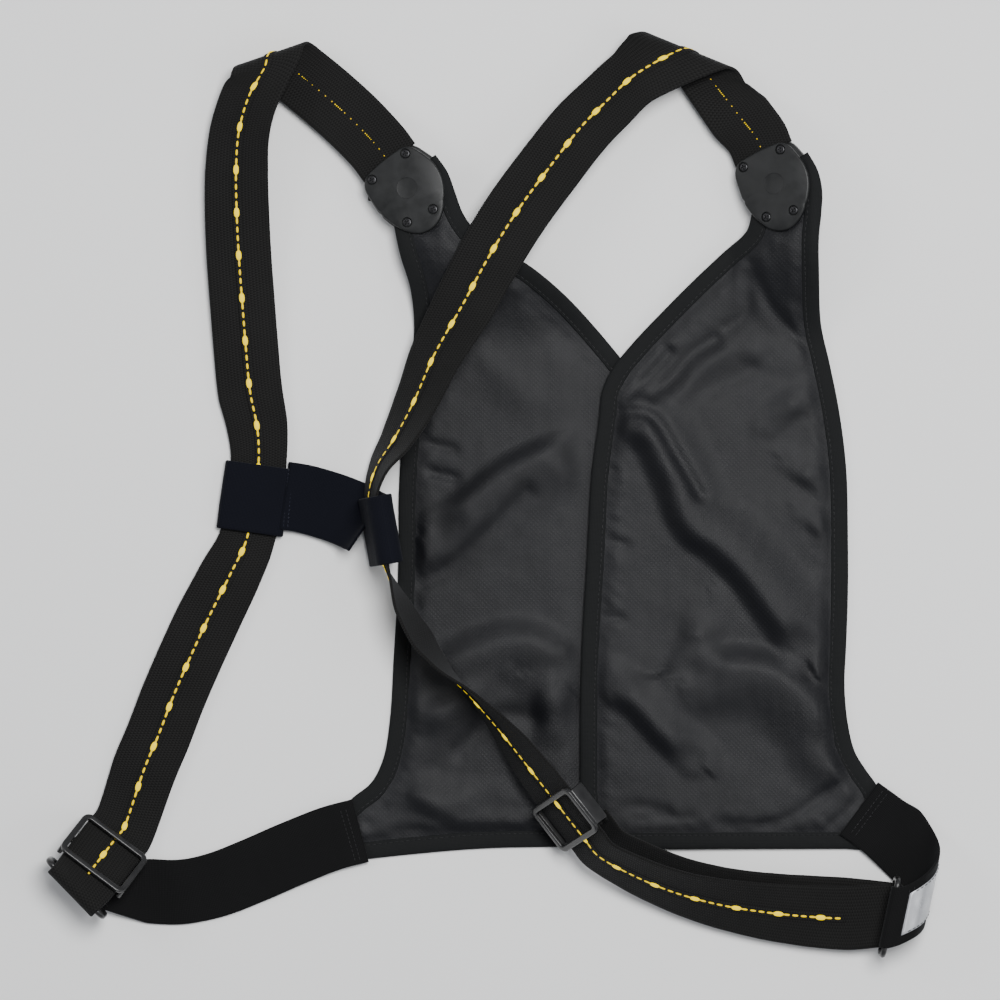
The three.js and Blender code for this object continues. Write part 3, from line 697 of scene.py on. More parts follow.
def moulded_finish(name, colour, roughness, grain=0.35, depth=0.04, coat=0.0, specular=0.2):
    """Moulded plastic with a fine spark-eroded grain and faint handling marks."""
    f = Finish(name, colour, roughness, specular_ior_level=specular, coat_weight=coat, coat_roughness=0.3)
    at = f.place()
    fine = f.noise(at, grain, 4)
    scuffs = f.noise(at, 6, 5)
    light = tuple(c * 1.9 + 0.002 for c in colour)
    f.colour(f.blend(f.span(scuffs, 0.35, 0.8, 0, 0.7), colour, light))
    f.rough(f.span(f.sum("ADD", fine, scuffs), 0.6, 1.4, roughness - 0.08, roughness + 0.12))
    f.bump(fine, depth, 0.6)
    return f.material


def glow_finish(name, colour, strength):
    f = Finish(name, (0.35, 0.24, 0.0), 0.35, emission_strength=strength, emission_color=(*colour, 1),
               specular_ior_level=0.15)
    f.rough(f.span(f.noise(f.place(), 0.6, 2), 0.3, 0.7, 0.25, 0.4))
    return f.material


def reflective_finish():
    """Glass-bead tape: pale grey, each bead a tiny painted glint, lighter at its centre."""
    f = Finish("reflective_tape", (0.5, 0.51, 0.53), 0.32, metallic=0.55, specular_ior_level=0.7)
    at = f.place()
    beads_and_glints = f.node("ShaderNodeTexVoronoi")
    f.join(at, beads_and_glints.inputs["Vector"])
    beads_and_glints.inputs["Scale"].default_value = 3.2
    cloud = f.noise(at, 9, 4)
    # Colour: a random cloud tone, and each bead's centre painted lighter as a painted glint; the same
    # beads give the real bead relief in the bump.
    f.colour(f.blend(f.sum("MULTIPLY_ADD", cloud, 0.6, f.sum("MULTIPLY", beads_and_glints.outputs[0], 0.5)),
                     (0.62, 0.63, 0.65), (0.34, 0.35, 0.37)))
    f.rough(f.span(cloud, 0.3, 0.7, 0.26, 0.42))
    f.bump(beads_and_glints.outputs[0], 0.05, 0.5)
    return f.material


def steel_finish():
    f = Finish("screw_steel", (0.03, 0.03, 0.032), 0.38, metallic=0.9)
    at = f.place()
    f.rough(f.span(f.noise(at, 0.4, 4), 0.3, 0.7, 0.28, 0.5))
    f.colour(f.blend(f.noise(at, 1.2, 3), (0.016, 0.016, 0.018), (0.06, 0.06, 0.062)))
    f.bump(f.noise(at, 0.25, 2), 0.02, 0.5)
    return f.material


def thread_finish(name, dark, light):
    f = Finish(name, dark, 0.55, sheen_weight=0.1, sheen_roughness=0.4, specular_ior_level=0.25)
    at = f.place()
    f.colour(f.blend(f.noise(at, 0.4, 3), dark, light))
    f.bump(f.noise(at, 0.25, 3), 0.05, 0.6)
    return f.material


def patch_finish(name, dark, light, size, roughness):
    """Sealed inner pieces and the closure: a mottled surface of its own grain."""
    f = Finish(name, dark, roughness)
    at = f.place()
    f.colour(f.blend(f.noise(at, size, 5), dark, light))
    f.bump(f.noise(at, size / 2, 4), 0.1, 0.8)
    return f.material


def floor_finish():
    f = Finish("floor", (0.78, 0.78, 0.77), 0.65)
    f.colour(f.blend(f.noise(f.place(), 240, 3), (0.86, 0.86, 0.855), (0.9, 0.9, 0.89)))
    return f.material


SATIN = satin_finish()
BINDING = binding_finish()
WEBBING = woven_finish("webbing", (0.001, 0.001, 0.001), (0.0165, 0.0163, 0.0158), 1.5, 1.9, 0.3)
ELASTIC = woven_finish("elastic", (0.002, 0.002, 0.0022), (0.0072, 0.0072, 0.0075), 0.9, 1.1, 0.14,
                       shed=False)
KEEPER = woven_finish("keeper_elastic", (0.0016, 0.0018, 0.0036), (0.0052, 0.006, 0.0108), 0.8, 0.9, 0.12,
                      roughness=0.86, sheen=0.03, shed=False)
THREAD = thread_finish("black_thread", (0.004, 0.004, 0.0045), (0.013, 0.0135, 0.015))
NAVY_THREAD = thread_finish("navy_thread", (0.002, 0.0028, 0.008), (0.007, 0.009, 0.024))
GLOW = glow_finish("lit_window", (1.0, 0.7, 0.0), 0.9)
BRIGHT_GLOW = glow_finish("lit_diode", (1.0, 0.74, 0.0), 1.35)
DIM_GLOW = glow_finish("lit_pinhole", (1.0, 0.6, 0.0), 0.7)
REFLECTIVE = reflective_finish()
PLASTIC = moulded_finish("moulded_plastic", (0.009, 0.009, 0.0094), 0.34, specular=0.4, coat=0.3)
CASE = moulded_finish("case_plastic", (0.0085, 0.009, 0.0092), 0.42, specular=0.34)
RUBBER = moulded_finish("seal_rubber", (0.004, 0.004, 0.004), 0.72, grain=0.8, depth=0.06)
STEEL = steel_finish()
BOARD = patch_finish("board_laminate", (0.01, 0.07, 0.03), (0.02, 0.12, 0.05), 3, 0.4)
CELL = patch_finish("battery_wrap", (0.25, 0.26, 0.28), (0.4, 0.41, 0.43), 5, 0.35)
HOOK_LOOP = patch_finish("hook_and_loop", (0.003, 0.003, 0.0034), (0.012, 0.012, 0.013), 1.0, 0.95)

# ---------- stitching ----------

def add_stitches(body, line, normals, pitch, length, thick):
    """Separate stitches along a line, each one dipping into the cloth at its ends."""
    steps = np.linalg.norm(np.diff(line, axis=0), axis=1)
    s = np.concatenate([[0], np.cumsum(steps)])
    for k in range(int((s[-1] - length) / pitch)):
        start = 0.5 + k * pitch
        rows = []
        for part, fat, lift in ((0, 0.35, -0.12), (0.16, 0.95, 0.1), (0.5, 1, 0.16), (0.84, 0.95, 0.1),
                                (1, 0.35, -0.12)):
            d = start + part * length
            p = at_length(d, s, line)
            n = unit(at_length(d, s, normals))
            ahead = at_length(d + 0.3, s, line)
            behind = at_length(d - 0.3, s, line)
            side = unit(np.cross(n, unit(ahead - behind)))
            for j in range(6):
                angle = 2 * math.pi * j / 6
                reach = thick * fat * (side * math.cos(angle) + n * math.sin(angle) * 0.8)
                rows.append(p + n * lift + reach)
        body.add(rows, ring_faces(5, 6), THREAD_SLOT)


# ---------- front panels ----------

def module_plane(side, x):
    at, tilt = MODULES[side]["at"], MODULES[side]["tilt"]
    return at[2] + math.tan(math.radians(tilt)) * np.clip(x - at[0], -26, 20)


def left_height(x, y):
    flat = 1.6
    return flat + (module_plane("left", x) - flat) * smoothstep(88, 150, y)


def right_height(x, y):
    flat = 5.35 - 0.0205 * (x - 47)
    return flat + (module_plane("right", x) - flat) * smoothstep(88, 150, y)


def dense_edge(points, step):
    curve = Curve([(x, y, 0) for x, y in points])
    rows = []
    for i in range(curve.last):
        gap = np.linalg.norm(curve.points[i + 1] - curve.points[i])
        parts = max(1, round(gap / step))
        rows += [curve.at((i + k / parts) / curve.last) for k in range(parts)]
    rows.append(curve.points[-1])
    return np.array(rows)[:, :2]


def inward(line, passes=4):
    t = unit(np.gradient(line, axis=0))
    return unit(softened(np.stack([-t[:, 1], t[:, 0]], axis=1), passes))


def distance_to(points, line):
    """Distance from each point to a polyline."""
    best = np.full(len(points), 1e9)
    for a, b in zip(line[:-1], line[1:]):
        along = b - a
        t = np.clip(((points - a) @ along) / max(along @ along, 1e-9), 0, 1)
        best = np.minimum(best, np.linalg.norm(points - a - t[:, None] * along, axis=1))
    return best


# Soft creases as (line, rise, half width): rise is negative in a valley.
LEFT_CREASES = [
    ([(-48.6, -50.6), (-27.5, -38.3), (-6.5, -18.5), (15, 3)], -2.0, 6),
    ([(-43, 32), (-28, 29)], -1.5, 3),
    ([(-42, 16), (-27, 12)], -1.8, 3.2),
    ([(-24, -148), (0, -126), (20, -130)], -1.6, 6),
    ([(-50, -172), (-30, -186), (2, -191), (30, -189)], 1.6, 6),
    ([(-78, -190), (-64, -180), (-54, -168)], -1.6, 4.5),
    ([(-84, -203), (-66, -197), (-48, -194)], -1.3, 3.4),
    ([(20, 118), (44, 90), (62, 70)], -1.8, 8),
    ([(-34, 96), (-10, 82), (14, 60)], 1.2, 10),
]
RIGHT_CREASES = [
    ([(65, 51.5), (87, 48.5), (102.5, 25.5), (116, 2)], -2.7, 4.2),
    ([(125, 93), (111, 84), (99, 70), (88, 61)], -2.4, 4.6),
    ([(98, 85), (87, 72), (73, 58)], -2.2, 3.6),
    ([(132, 86), (116, 74), (104, 60)], 1.4, 5),
    ([(144, 138), (160, 108), (176, 92)], -1.7, 4),
    ([(144, 128), (143, 108), (133, 100)], -2.0, 4.6),
    ([(121, 63), (144, 75), (156, 82)], -1.4, 6),
    ([(57, 20.5), (66, 16)], -1.6, 3),
    ([(58, -22.5), (72, -27)], -1.6, 3.2),
    ([(58, -69), (70, -70)], -1.4, 3),
    ([(127, -190), (150, -191), (166, -188), (184, -176), (201, -165)], -1.8, 3.6),
    ([(193, -191), (202, -183), (210, -174)], -1.8, 3.4),
    ([(62, -187), (76, -180), (96, -183)], -1.4, 4),
    ([(78, -188), (110, -186)], -1.0, 3),
]
# Facets as (ridge line, height, steep width, gentle width): the steep side is on the right of the
# line, looking along it.
LEFT_FACETS = [
    ([(44, 32), (23, 24), (0, 12), (-15, -1), (-27, -10), (-38, -16)], 4.6, 14, 34),
    ([(-42, -110), (-20, -92), (6, -84), (24, -88), (36, -104)], 4.2, 30, 18),
    ([(34, -96), (28, -120), (30, -150)], 2.6, 12, 20),
    ([(-50, -140), (-26, -122), (2, -108)], 3.0, 22, 14),
    ([(-60, -168), (-36, -176), (-4, -178)], 2.2, 14, 18),
]
RIGHT_FACETS = [
    ([(65, 41), (79, 41), (87, 36), (98, 16), (111, -15), (127, -27), (140, -39), (160, -66), (175, -89)],
     5.6, 15, 32),
    ([(119, -63), (114, -80), (108, -98)], 3.6, 13, 20),
    ([(111, -101), (134, -99), (160, -104), (184, -125), (196, -144)], 5.2, 34, 18),
    ([(58, -107), (77, -117), (94, -135), (113, -153)], 4.2, 13, 20),
    ([(157, 42), (169, 53), (185, 62)], 2.6, 9, 14),
    ([(166, 21), (178, 13), (191, 4)], 2.6, 8, 14),
    ([(174, -8), (184, -15.5), (194, -27)], 2.2, 7, 12),
    ([(175, -91), (184, -99), (190, -115)], 2.0, 6, 10),
    ([(136, 96), (150, 84), (168, 80)], 1.6, 10, 16),
]


def crease_heights(points, creases):
    total = np.zeros(len(points))
    for line, rise, width in creases:
        smooth_line = dense_edge(line, 3) if len(line) > 2 else np.array(line, float)
        total += rise * np.exp(-((distance_to(points, smooth_line) / width) ** 2))
    return total


def facet_heights(points, facets):
    """Ridges that fall quickly on one side and slowly on the other."""
    total = np.zeros(len(points))
    for line, height, steep, gentle in facets:
        ridge = dense_edge(line, 3)
        away = distance_to(points, ridge)
        middles = (ridge[:-1] + ridge[1:]) / 2
        along = np.diff(ridge, axis=0)
        nearest = np.argmin(((points[:, None] - middles) ** 2).sum(2), axis=1)
        to_point = points - middles[nearest]
        turn = along[nearest, 0] * to_point[:, 1] - along[nearest, 1] * to_point[:, 0]
        ends = np.minimum(*(np.linalg.norm(points - end, axis=1) for end in (ridge[0], ridge[-1])))
        taper = 0.25 + 0.75 * smoothstep(0, 22, ends)
        width = np.where(turn < 0, steep, gentle)
        total += FACET_GAIN * height * taper * (1 - smoothstep(0, 1, away / width))
    return total


def panel_outline(edge, side):
    """The raw edge inside its binding, with its top cut round the module's seal."""
    line = dense_edge(edge, 2.6)
    line = line + inward(line) * 1.6
    cx, cy, _ = MODULES[side]["at"]
    line = line[np.hypot(line[:, 0] - cx, line[:, 1] - cy) > SEAL_RADIUS]
    first, last = (math.degrees(math.atan2(p[1] - cy, p[0] - cx)) % 360 for p in (line[-1], line[0]))
    first += 360 if first < 180 else 0
    turns = [math.radians(a) for a in np.linspace(first, last, 11)[1:-1]]
    arc = [(cx + SEAL_RADIUS * math.cos(a), cy + SEAL_RADIUS * math.sin(a)) for a in turns]
    return np.concatenate([line, arc])


def build_panel(name, edge, side, height, creases, facets, puff, node):
    outline = panel_outline(edge, side)
    count = len(outline)
    spacing = 2.2
    low, high = outline.min(0), outline.max(0)
    grid = np.array([(x, y) for y in np.arange(low[1], high[1], spacing)
                     for x in np.arange(low[0], high[0], spacing)])
    poly = outline.tolist()
    near = distance_to(grid, np.vstack([outline, outline[:1]]))
    grid = grid[near > spacing * 0.55]
    points = [Vector(p) for p in poly] + [Vector(p) for p in grid]
    edges = [(i, (i + 1) % count) for i in range(count)]
    flat, _, faces, *_ = geometry.delaunay_2d_cdt(points, edges, [], 1, 1e-5)
    flat = np.array([tuple(p) for p in flat])
    rim = distance_to(flat, np.vstack([outline, outline[:1]]))
    base = height(flat[:, 0], flat[:, 1])
    inside = smoothstep(6, 16, rim)
    loose = puff(flat[:, 0], flat[:, 1]) * inside
    rows = np.column_stack([flat, np.zeros(len(flat))])
    crumple = 0.5 * wobble(rows, 26, 3) + 0.2 * wobble(rows, 11, 7) + 0.06 * wobble(rows, 4, 11)
    gather = wobble(np.column_stack([flat[:, 0] * 0.9, flat[:, 1] * 1.1, rim * 0.12]), 5.2, 21)
    gather = 0.55 * gather * smoothstep(5, 9, rim) * (1 - smoothstep(12, 26, rim))
    folds = crease_heights(flat, creases) + facet_heights(flat, facets)
    rise = loose * (2.4 + folds + crumple) + gather * smoothstep(0, 1, loose + 0.4)
    z = base + np.maximum(rise, -0.1)
    top = np.column_stack([flat, z + PANEL_THICKNESS / 2])
    bottom = np.column_stack([flat, z - PANEL_THICKNESS / 2])
    total = len(flat)
    all_faces = [tuple(f) for f in faces] + [tuple(total + i for i in reversed(f)) for f in faces]
    used = dict.fromkeys((a, b) for f in faces for a, b in zip(f, [*f[1:], f[0]]))
    all_faces += [(b, a, total + a, total + b) for a, b in used if (b, a) not in used]
    made = make_object(name, np.vstack([top, bottom]), all_faces, SATIN)
    orient(made)
    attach(made, "vest")
    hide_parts(node)


def left_puff(x, y):
    return 1 - 0.75 * smoothstep(34, 50, x)


def right_puff(x, y):
    return 1 - 0.5 * smoothstep(-150, -180, y) * (1 - smoothstep(60, 90, x))


build_stage()
build_panel("left_panel_cloth", LEFT_EDGE, "left", left_height, LEFT_CREASES, LEFT_FACETS, left_puff,
            "left_front_panel")
build_panel("right_panel_cloth", RIGHT_EDGE, "right", right_height, RIGHT_CREASES, RIGHT_FACETS,
            right_puff, "right_front_panel")


def build_binding(side, edge, height):
    line = dense_edge(edge, 2.2)
    cx, cy, _ = MODULES[side]["at"]
    line = line[np.hypot(line[:, 0] - cx, line[:, 1] - cy) > 18.5]
    normal = inward(line, 7)
    count = len(line)
    length = np.concatenate([[0], np.cumsum(np.linalg.norm(np.diff(line, axis=0), axis=1))])
    # Corners gather the tape into small pleats.
    direction = np.unwrap(np.arctan2(normal[:, 1], normal[:, 0]))
    turn = np.abs(np.gradient(direction)) / np.gradient(length)
    turn = softened(np.clip(turn / 0.045, 0, 1), 6)
    upper = [(10.0, 0.72), (9.2, 0.92), (8.3, 0.74), (7.2, 1.0), (5.6, 1.14), (3.8, 1.18), (2.0, 1.08),
             (0.8, 0.78), (0.15, 0.35)]
    outer = upper + [(d, -z) for d, z in reversed(upper)]
    inner = [(10.0, -0.3), (6.0, -0.32), (2.2, -0.32), (1.6, 0.0), (2.2, 0.32), (6.0, 0.32),
             (10.0, 0.3)]
    section = outer + inner
    body = Body()
    vertices, strip = [], []
    for i in range(count):
        ripple = 0.16 * noise.noise(Vector((length[i] / 6, side == "left", 0)))
        pleat = 0.34 * turn[i] * math.sin(length[i] * 2 * math.pi / 4.3)
        for k, (d, z) in enumerate(section):
            x, y = line[i] + normal[i] * d
            on_face = math.sin(math.pi * min(d, 9) / 9) if k < len(upper) else 0
            lifted = z + (ripple + pleat) * on_face
            vertices.append((x, y, float(height(x, y)) + lifted))
            strip.append((d, length[i], 1 if k < len(upper) else -1))
    body.add(vertices, ring_faces(count, len(section)), 0, strip)
    for inset, z in ((8.3, 0.76), (6.9, 1.04)):
        seam = line + normal * inset
        rows = np.column_stack([seam, [float(height(*p)) + z for p in seam]])
        up = np.tile(vec(0, 0, 1), (count, 1))
        if inset > 8:
            add_stitches(body, rows, up, 3.3, 2.5, 0.26)
            below = rows.copy()
            below[:, 2] -= 2 * z
            add_stitches(body, below, -up, 3.3, 2.5, 0.26)
    made = body.make(f"{side}_binding_tape", [BINDING, THREAD])
    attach(made, "vest")
    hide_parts(f"{side}_panel_binding")


build_binding("left", LEFT_EDGE, left_height)
build_binding("right", RIGHT_EDGE, right_height)

# ---------- straps and their light lines ----------

def build_strap(side, run):
    body = Body()
    add_band(body, run, STRAP_WIDTH, STRAP_THICKNESS, columns=16, edge=0.12, ruffle=0.16)
    made = body.make(f"{side}_strap_webbing", WEBBING)
    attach(made, "vest")
    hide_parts(f"{side}_shoulder_strap")


def add_window(body, run, s, length, width, height, lift, slot, direction=1):
    """One lit window: a low rounded blister along the strap."""
    rings, sides = 7, 10
    rows = []
    for i in range(rings):
        along = -math.cos(math.pi * i / (rings - 1))
        fat = max(0.05, math.sqrt(max(0.0, 1 - along * along)) ** 0.55)
        p, t, a, n = run.at(s + along * length / 2)
        a = unit(a)
        for j in range(sides):
            angle = 2 * math.pi * j / sides
            up = math.sin(angle)
            rise = height * fat * (up if up > 0 else up * 0.25)
            rows.append(p + a * (width / 2 * fat * math.cos(angle)) + n * direction * (lift + rise))
    body.add(rows, ring_faces(rings, sides), slot)


def build_light_line(side, run, first, last, anchor):
    lit = run.part((run.source >= first) & (run.source < last))
    inner = run.part(run.source < first + 4)
    body = Body()
    add_band(body, lit, 5.0, 0.7, lift=1.12, columns=9)
    phase = run.nearest(*anchor) % LED_PITCH
    for start in np.arange(lit.s[0] + 3, lit.s[-1] - 3, DASH_PITCH):
        s = start - (start - phase) % DASH_PITCH + DASH_PITCH
        if (s - phase + 0.5) % LED_PITCH < 1:
            add_window(body, run, s, 5.6, 3.3, 0.85, 1.42, DIODE_SLOT)
            add_window(body, run, s, 7.6, 1.7, 0.35, 1.45, WINDOW_SLOT)
        else:
            add_window(body, run, s, 3.5, 1.35, 0.34, 1.45, WINDOW_SLOT)
    for s in np.arange(inner.s[0] + 4, inner.s[-1] - 6, PINHOLE_PITCH):
        away = min((s - phase) % LED_PITCH, (phase - s) % LED_PITCH)
        if away < 3.2 or round(s / PINHOLE_PITCH) % 4 == 0:
            slot = PINHOLE_SLOT if away > 3.2 else WINDOW_SLOT
            add_window(body, run, s, 0.75, 0.7, 0.12, 0.74, slot, -1)
    made = body.make(f"{side}_light_strip", [WEBBING, GLOW, DIM_GLOW, BRIGHT_GLOW])
    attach(made, "vest")
    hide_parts(f"{side}_light_line")


build_strap("left", left_run)
build_strap("right", right_run)
build_light_line("left", left_run, 4, len(left_front) - 1, (-153, 142))
build_light_line("right", right_run, 4, len(right_front) - 1, (9, 166))

# ---------- slide adjusters and the webbing's sewn ends ----------

def axes_run(axes, path, step=0.8):
    """A run through (along, out) points on a slider's own axes, with the slider's width."""
    p, t, a, n = axes
    return Run.through([{"p": p + t * u + n * w, "a": a} for u, w in path], step)


CORNERS = ((1, 1), (-1, 1), (-1, -1), (1, -1))


def rounded_loop(x, y, corner, turns, straights=1):
    """Places and outward directions once round a rounded rectangle; (x, y) is a corner's centre."""
    loop = []
    for quarter, (sx, sy) in enumerate(CORNERS):
        for k in range(turns + 1):
            angle = math.pi / 2 * (quarter + k / turns)
            out = (math.cos(angle), math.sin(angle))
            loop.append((sx * x + corner * out[0], sy * y + corner * out[1], out))
        nx, ny = CORNERS[(quarter + 1) % 4]
        here_x, here_y, out = loop[-1]
        ahead_x, ahead_y = nx * x + corner * out[0], ny * y + corner * out[1]
        for k in range(1, straights):
            u = k / straights
            loop.append((here_x * (1 - u) + ahead_x * u, here_y * (1 - u) + ahead_y * u, out))
    return loop


def add_frame_ring(body, axes, length, width, low, high, wall, corner):
    """A rounded rectangular frame: its section runs once round the strap's opening."""
    p, t, a, n = axes
    section = []
    half_wall, half_high = wall / 2, (high - low) / 2
    for k in range(16):
        angle = 2 * math.pi * (k + 0.5) / 16
        c, s = math.cos(angle), math.sin(angle)
        section.append((half_wall * math.copysign(abs(c) ** 0.5, c),
                        half_high * math.copysign(abs(s) ** 0.4, s)))
    path = rounded_loop(length / 2 - wall / 2 - corner, width / 2 - wall / 2 - corner, corner, 8)
    vertices = []
    for u, v, out in path:
        for across, up in section:
            at = (high + low) / 2 + up
            vertices.append(p + t * (u + out[0] * across) + a * (v + out[1] * across) + n * at)
    body.add(vertices, ring_faces(len(path), 16, closed_loop=True))


def build_adjuster(side, axes):
    body = Body()
    add_frame_ring(body, axes, 32, 46, OUTER_BAR_LOW, OUTER_BAR_HIGH, 3.5, 3.6)
    for rail in (-1, 1):
        middle = (CENTRE_BAR_LOW + OUTER_BAR_LOW + 0.6) / 2
        height = OUTER_BAR_LOW + 0.6 - CENTRE_BAR_LOW
        box_body(body, (25, 2.9, height), (0, rail * 21.5, middle), axes, 0.9)
    box_body(body, (4.0, 42, 2.7), (0, 0, (CENTRE_BAR_LOW + CENTRE_BAR_HIGH) / 2), axes, 1.0)
    for k in range(9):
        box_body(body, (3.0, 0.9, 0.5), (0, -16 + 4 * k, CENTRE_BAR_LOW - 0.05), axes, 0.18)
    made = body.make(f"{side}_adjuster_frame", PLASTIC, 40)
    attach(made, f"{side}_adjuster")
    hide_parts(f"{side}_slide_adjuster")

    tail = Body()
    radius = 2.5
    bend = [(-0.65 - radius * math.sin(math.pi * k / 8), -5.05 + radius * math.cos(math.pi * k / 8))
            for k in range(9)]
    path = [(14.4, -2.55), (10, -2.62), (6, -2.55), *bend, (6, -7.5), (10, -7.4), (14.4, -7.3)]
    run = axes_run(axes, path)
    add_band(tail, run, STRAP_WIDTH - 0.6, TAIL_THICKNESS, columns=14, edge=0.08)
    for d in (5.2, 7.4, 12.2):
        for depth in (-1.82, -8.2):
            place_on = on_slider(axes, d, depth)["p"]
            line = np.array([place_on + axes[2] * v for v in np.linspace(-17, 17, 30)])
            out = axes[3] * (1 if depth > -5 else -1)
            add_stitches(tail, line, np.tile(out, (30, 1)), 2.3, 1.9, 0.22)
    sewn = tail.make(f"{side}_strap_end", [WEBBING, THREAD])
    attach(sewn, f"{side}_adjuster")
    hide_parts(f"{side}_strap_tail")


build_adjuster("left", LEFT_SLIDER)
build_adjuster("right", RIGHT_SLIDER)

# ---------- side rings ----------

def build_ring(side, ring):
    """A cast ring: a round wire, thicker at its two rounded ends."""
    axis = heading(ring["axis"])
    body = Body()
    reach, corner = 22.05, 4
    path = rounded_loop(reach - corner, RING_SPACING / 2 - corner, corner, 8, 8)
    vertices = []
    side_axis = np.cross(axis, vec(0, 0, 1))
    for x, z, out in path:
        thick = RING_WIRE * (1 + 0.16 * smoothstep(14, 21, abs(x)))
        for k in range(14):
            angle = 2 * math.pi * k / 14
            c, s = math.cos(angle) * thick, math.sin(angle) * RING_WIRE * 1.02
            vertices.append(ring["at"] + axis * (x + out[0] * c) + vec(0, 0, z + out[1] * c)
                            + side_axis * s)
    body.add(vertices, ring_faces(len(path), 14, closed_loop=True))
    made = body.make(f"{side}_ring_casting", PLASTIC)
    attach(made, f"{side}_ring")
    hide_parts(f"{side}_side_ring")


build_ring("left", LEFT_RING)
build_ring("right", RIGHT_RING)

# ---------- side elastics with their reflective tape ----------

def build_elastic(side, run, first, end):
    body = Body()
    add_band(body, run, STRAP_WIDTH, ELASTIC_THICKNESS, columns=18, edge=0.05, ruffle=0.3)
    for d in (5, 8):
        p, t, a, n = run.at(run.s[0] + d)
        line = np.array([p + a * v - n * (ELASTIC_THICKNESS / 2 + 0.1)
                         for v in np.linspace(-17, 17, 30)])
        add_stitches(body, line, np.tile(-n, (30, 1)), 2.6, 2.1, 0.22)
    ring_side = run.s[-1]
    for d in (17, 20):
        p, t, a, n = run.at(ring_side - d)
        for face in (1, -1):
            line = np.array([p + a * v + n * face * (ELASTIC_THICKNESS / 2 + 0.05)
                             for v in np.linspace(-16, 16, 28)])
            add_stitches(body, line, np.tile(n * face, (28, 1)), 2.6, 2.1, 0.22)
    made = body.make(f"{side}_elastic_band", [ELASTIC, THREAD])
    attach(made, "vest")
    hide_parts(f"{side}_side_elastic")

    tape = Body()
    shown = run.part((run.source >= first) & (run.source < end))
    lift = ELASTIC_THICKNESS / 2 + 0.35
    add_band(tape, shown, 26, 0.36, lift=lift, columns=12)
    for u in (-12, 12):
        line = shown.surface(u, lift + 0.2)
        add_stitches(tape, line, shown.n, 3.2, 2.4, 0.24)
    trim = tape.make(f"{side}_reflective_trim", [REFLECTIVE, THREAD])
    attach(trim, "vest")
    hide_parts(f"{side}_reflective_tape")


build_elastic("left", left_elastic_run, 2, 6)
build_elastic("right", right_elastic_run, 2, 8)

# ---------- back keeper ----------

def add_sleeve(body, axes, width, height, length, wall):
    """An elastic sleeve round a strap, its rim turned and its sides slightly hollow."""
    p, t, a, n = axes
    corner = min(height, width) / 2 + wall * 0.5
    loop = rounded_loop(width / 2 + wall / 2 - corner, height / 2 + wall / 2 - corner, corner, 6, 9)
    section = band_section(length, wall, 14, 0.05)
    vertices, strip = [], []
    around = 0.0
    for i, (y, z, out) in enumerate(loop):
        if i:
            around += math.hypot(y - loop[i - 1][0], z - loop[i - 1][1])
        for v, w, side in section:
            centre = p + a * y + n * z
            sway = 0.25 * noise.noise(Vector(centre) / 11 + Vector((v / 16, 0, 4)))
            vertices.append(centre + t * v + (a * out[0] + n * out[1]) * (w + sway))
            strip.append((v, around, side))
    body.add(vertices, ring_faces(len(loop), len(section), closed_loop=True), strip=strip)


def build_keeper():
    flat = slider_axes((-144.2, 0, 3.9), -98, 0, 0)
    standing = slider_axes((-70, -18.5, 23.4), -80, 0, 80)
    body = Body()
    add_sleeve(body, flat, 37, 4.4, 40, KEEPER_THICKNESS)
    add_sleeve(body, standing, 41.4, 13.2, 40, KEEPER_THICKNESS)
    upper = Run.through([place(-126, 1.6, 7.2, 0), place(-116, 0, 5.6, 0), place(-100, -4.5, 4.6, -2),
                         place(-88, -9, 6.4, -8), place(-80, -12.8, 12, -20), place(-77.6, -14, 20, -24)])
    lower = Run.through([place(-127, 1.6, 2.1), place(-116, 0, 1.8), place(-100, -4.5, 1.7),
                         place(-90, -8.2, 2.2), place(-82.5, -11.6, 4.4)])
    for run in (upper, lower):
        add_band(body, run, 40, KEEPER_THICKNESS, columns=16, edge=0.05, ruffle=0.3)
    for shift in (0, 2.4):
        p = vec(-125.4 + shift, 1.4 - shift * 0.1, 7.3 - shift * 0.12)
        along = unit(vec(0.09, 1, 0))
        line = np.array([p + along * v for v in np.linspace(-18.5, 18.5, 34)])
        add_stitches(body, line, np.tile(vec(0.1, 0, 1), (34, 1)), 2.3, 1.8, 0.3)
    made = body.make("back_keeper_elastic", [KEEPER, NAVY_THREAD])
    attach(made, "keeper")
    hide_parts("back_keeper")


build_keeper()

# ---------- closure between the panels ----------

def build_closure(name, node):
    low, high = (np.array(c) * 1000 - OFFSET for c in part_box(node))
    body = Body()
    run = Run.through([place((low[0] + high[0]) / 2, y, (low[2] + high[2]) / 2, 180)
                       for y in np.linspace(low[1] + 0.3, high[1] - 0.3, 5)], 4)
    add_band(body, run, 15.6, float(high[2] - low[2]) * 0.9, columns=8)
    made = body.make(name, HOOK_LOOP)
    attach(made, "vest")
    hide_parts(node)


build_closure("hook_tape", "hook_strip")
build_closure("loop_tape", "loop_strip")

# ---------- electronics modules ----------

def turned_point(side, local):
    """A place on a module's own axes, in the layout."""
    turn, tilt = math.radians(MODULES[side]["turn"]), -math.radians(MODULES[side]["tilt"])
    x, y, z = local
    x, y = x * math.cos(turn) - y * math.sin(turn), x * math.sin(turn) + y * math.cos(turn)
    x, z = x * math.cos(tilt) + z * math.sin(tilt), -x * math.sin(tilt) + z * math.cos(tilt)
    return vec(*MODULES[side]["at"]) + vec(x, y, z)


def outline_radius(angle):
    def lobe(centre, reach, spread):
        away = (angle - centre + 540) % 360 - 180
        return reach * math.exp(-((away / spread) ** 2))
    return 21.5 + lobe(90, 2.8, 18) + lobe(172, 4.2, 22) + lobe(298, 6.6, 38)


SIDES = 144


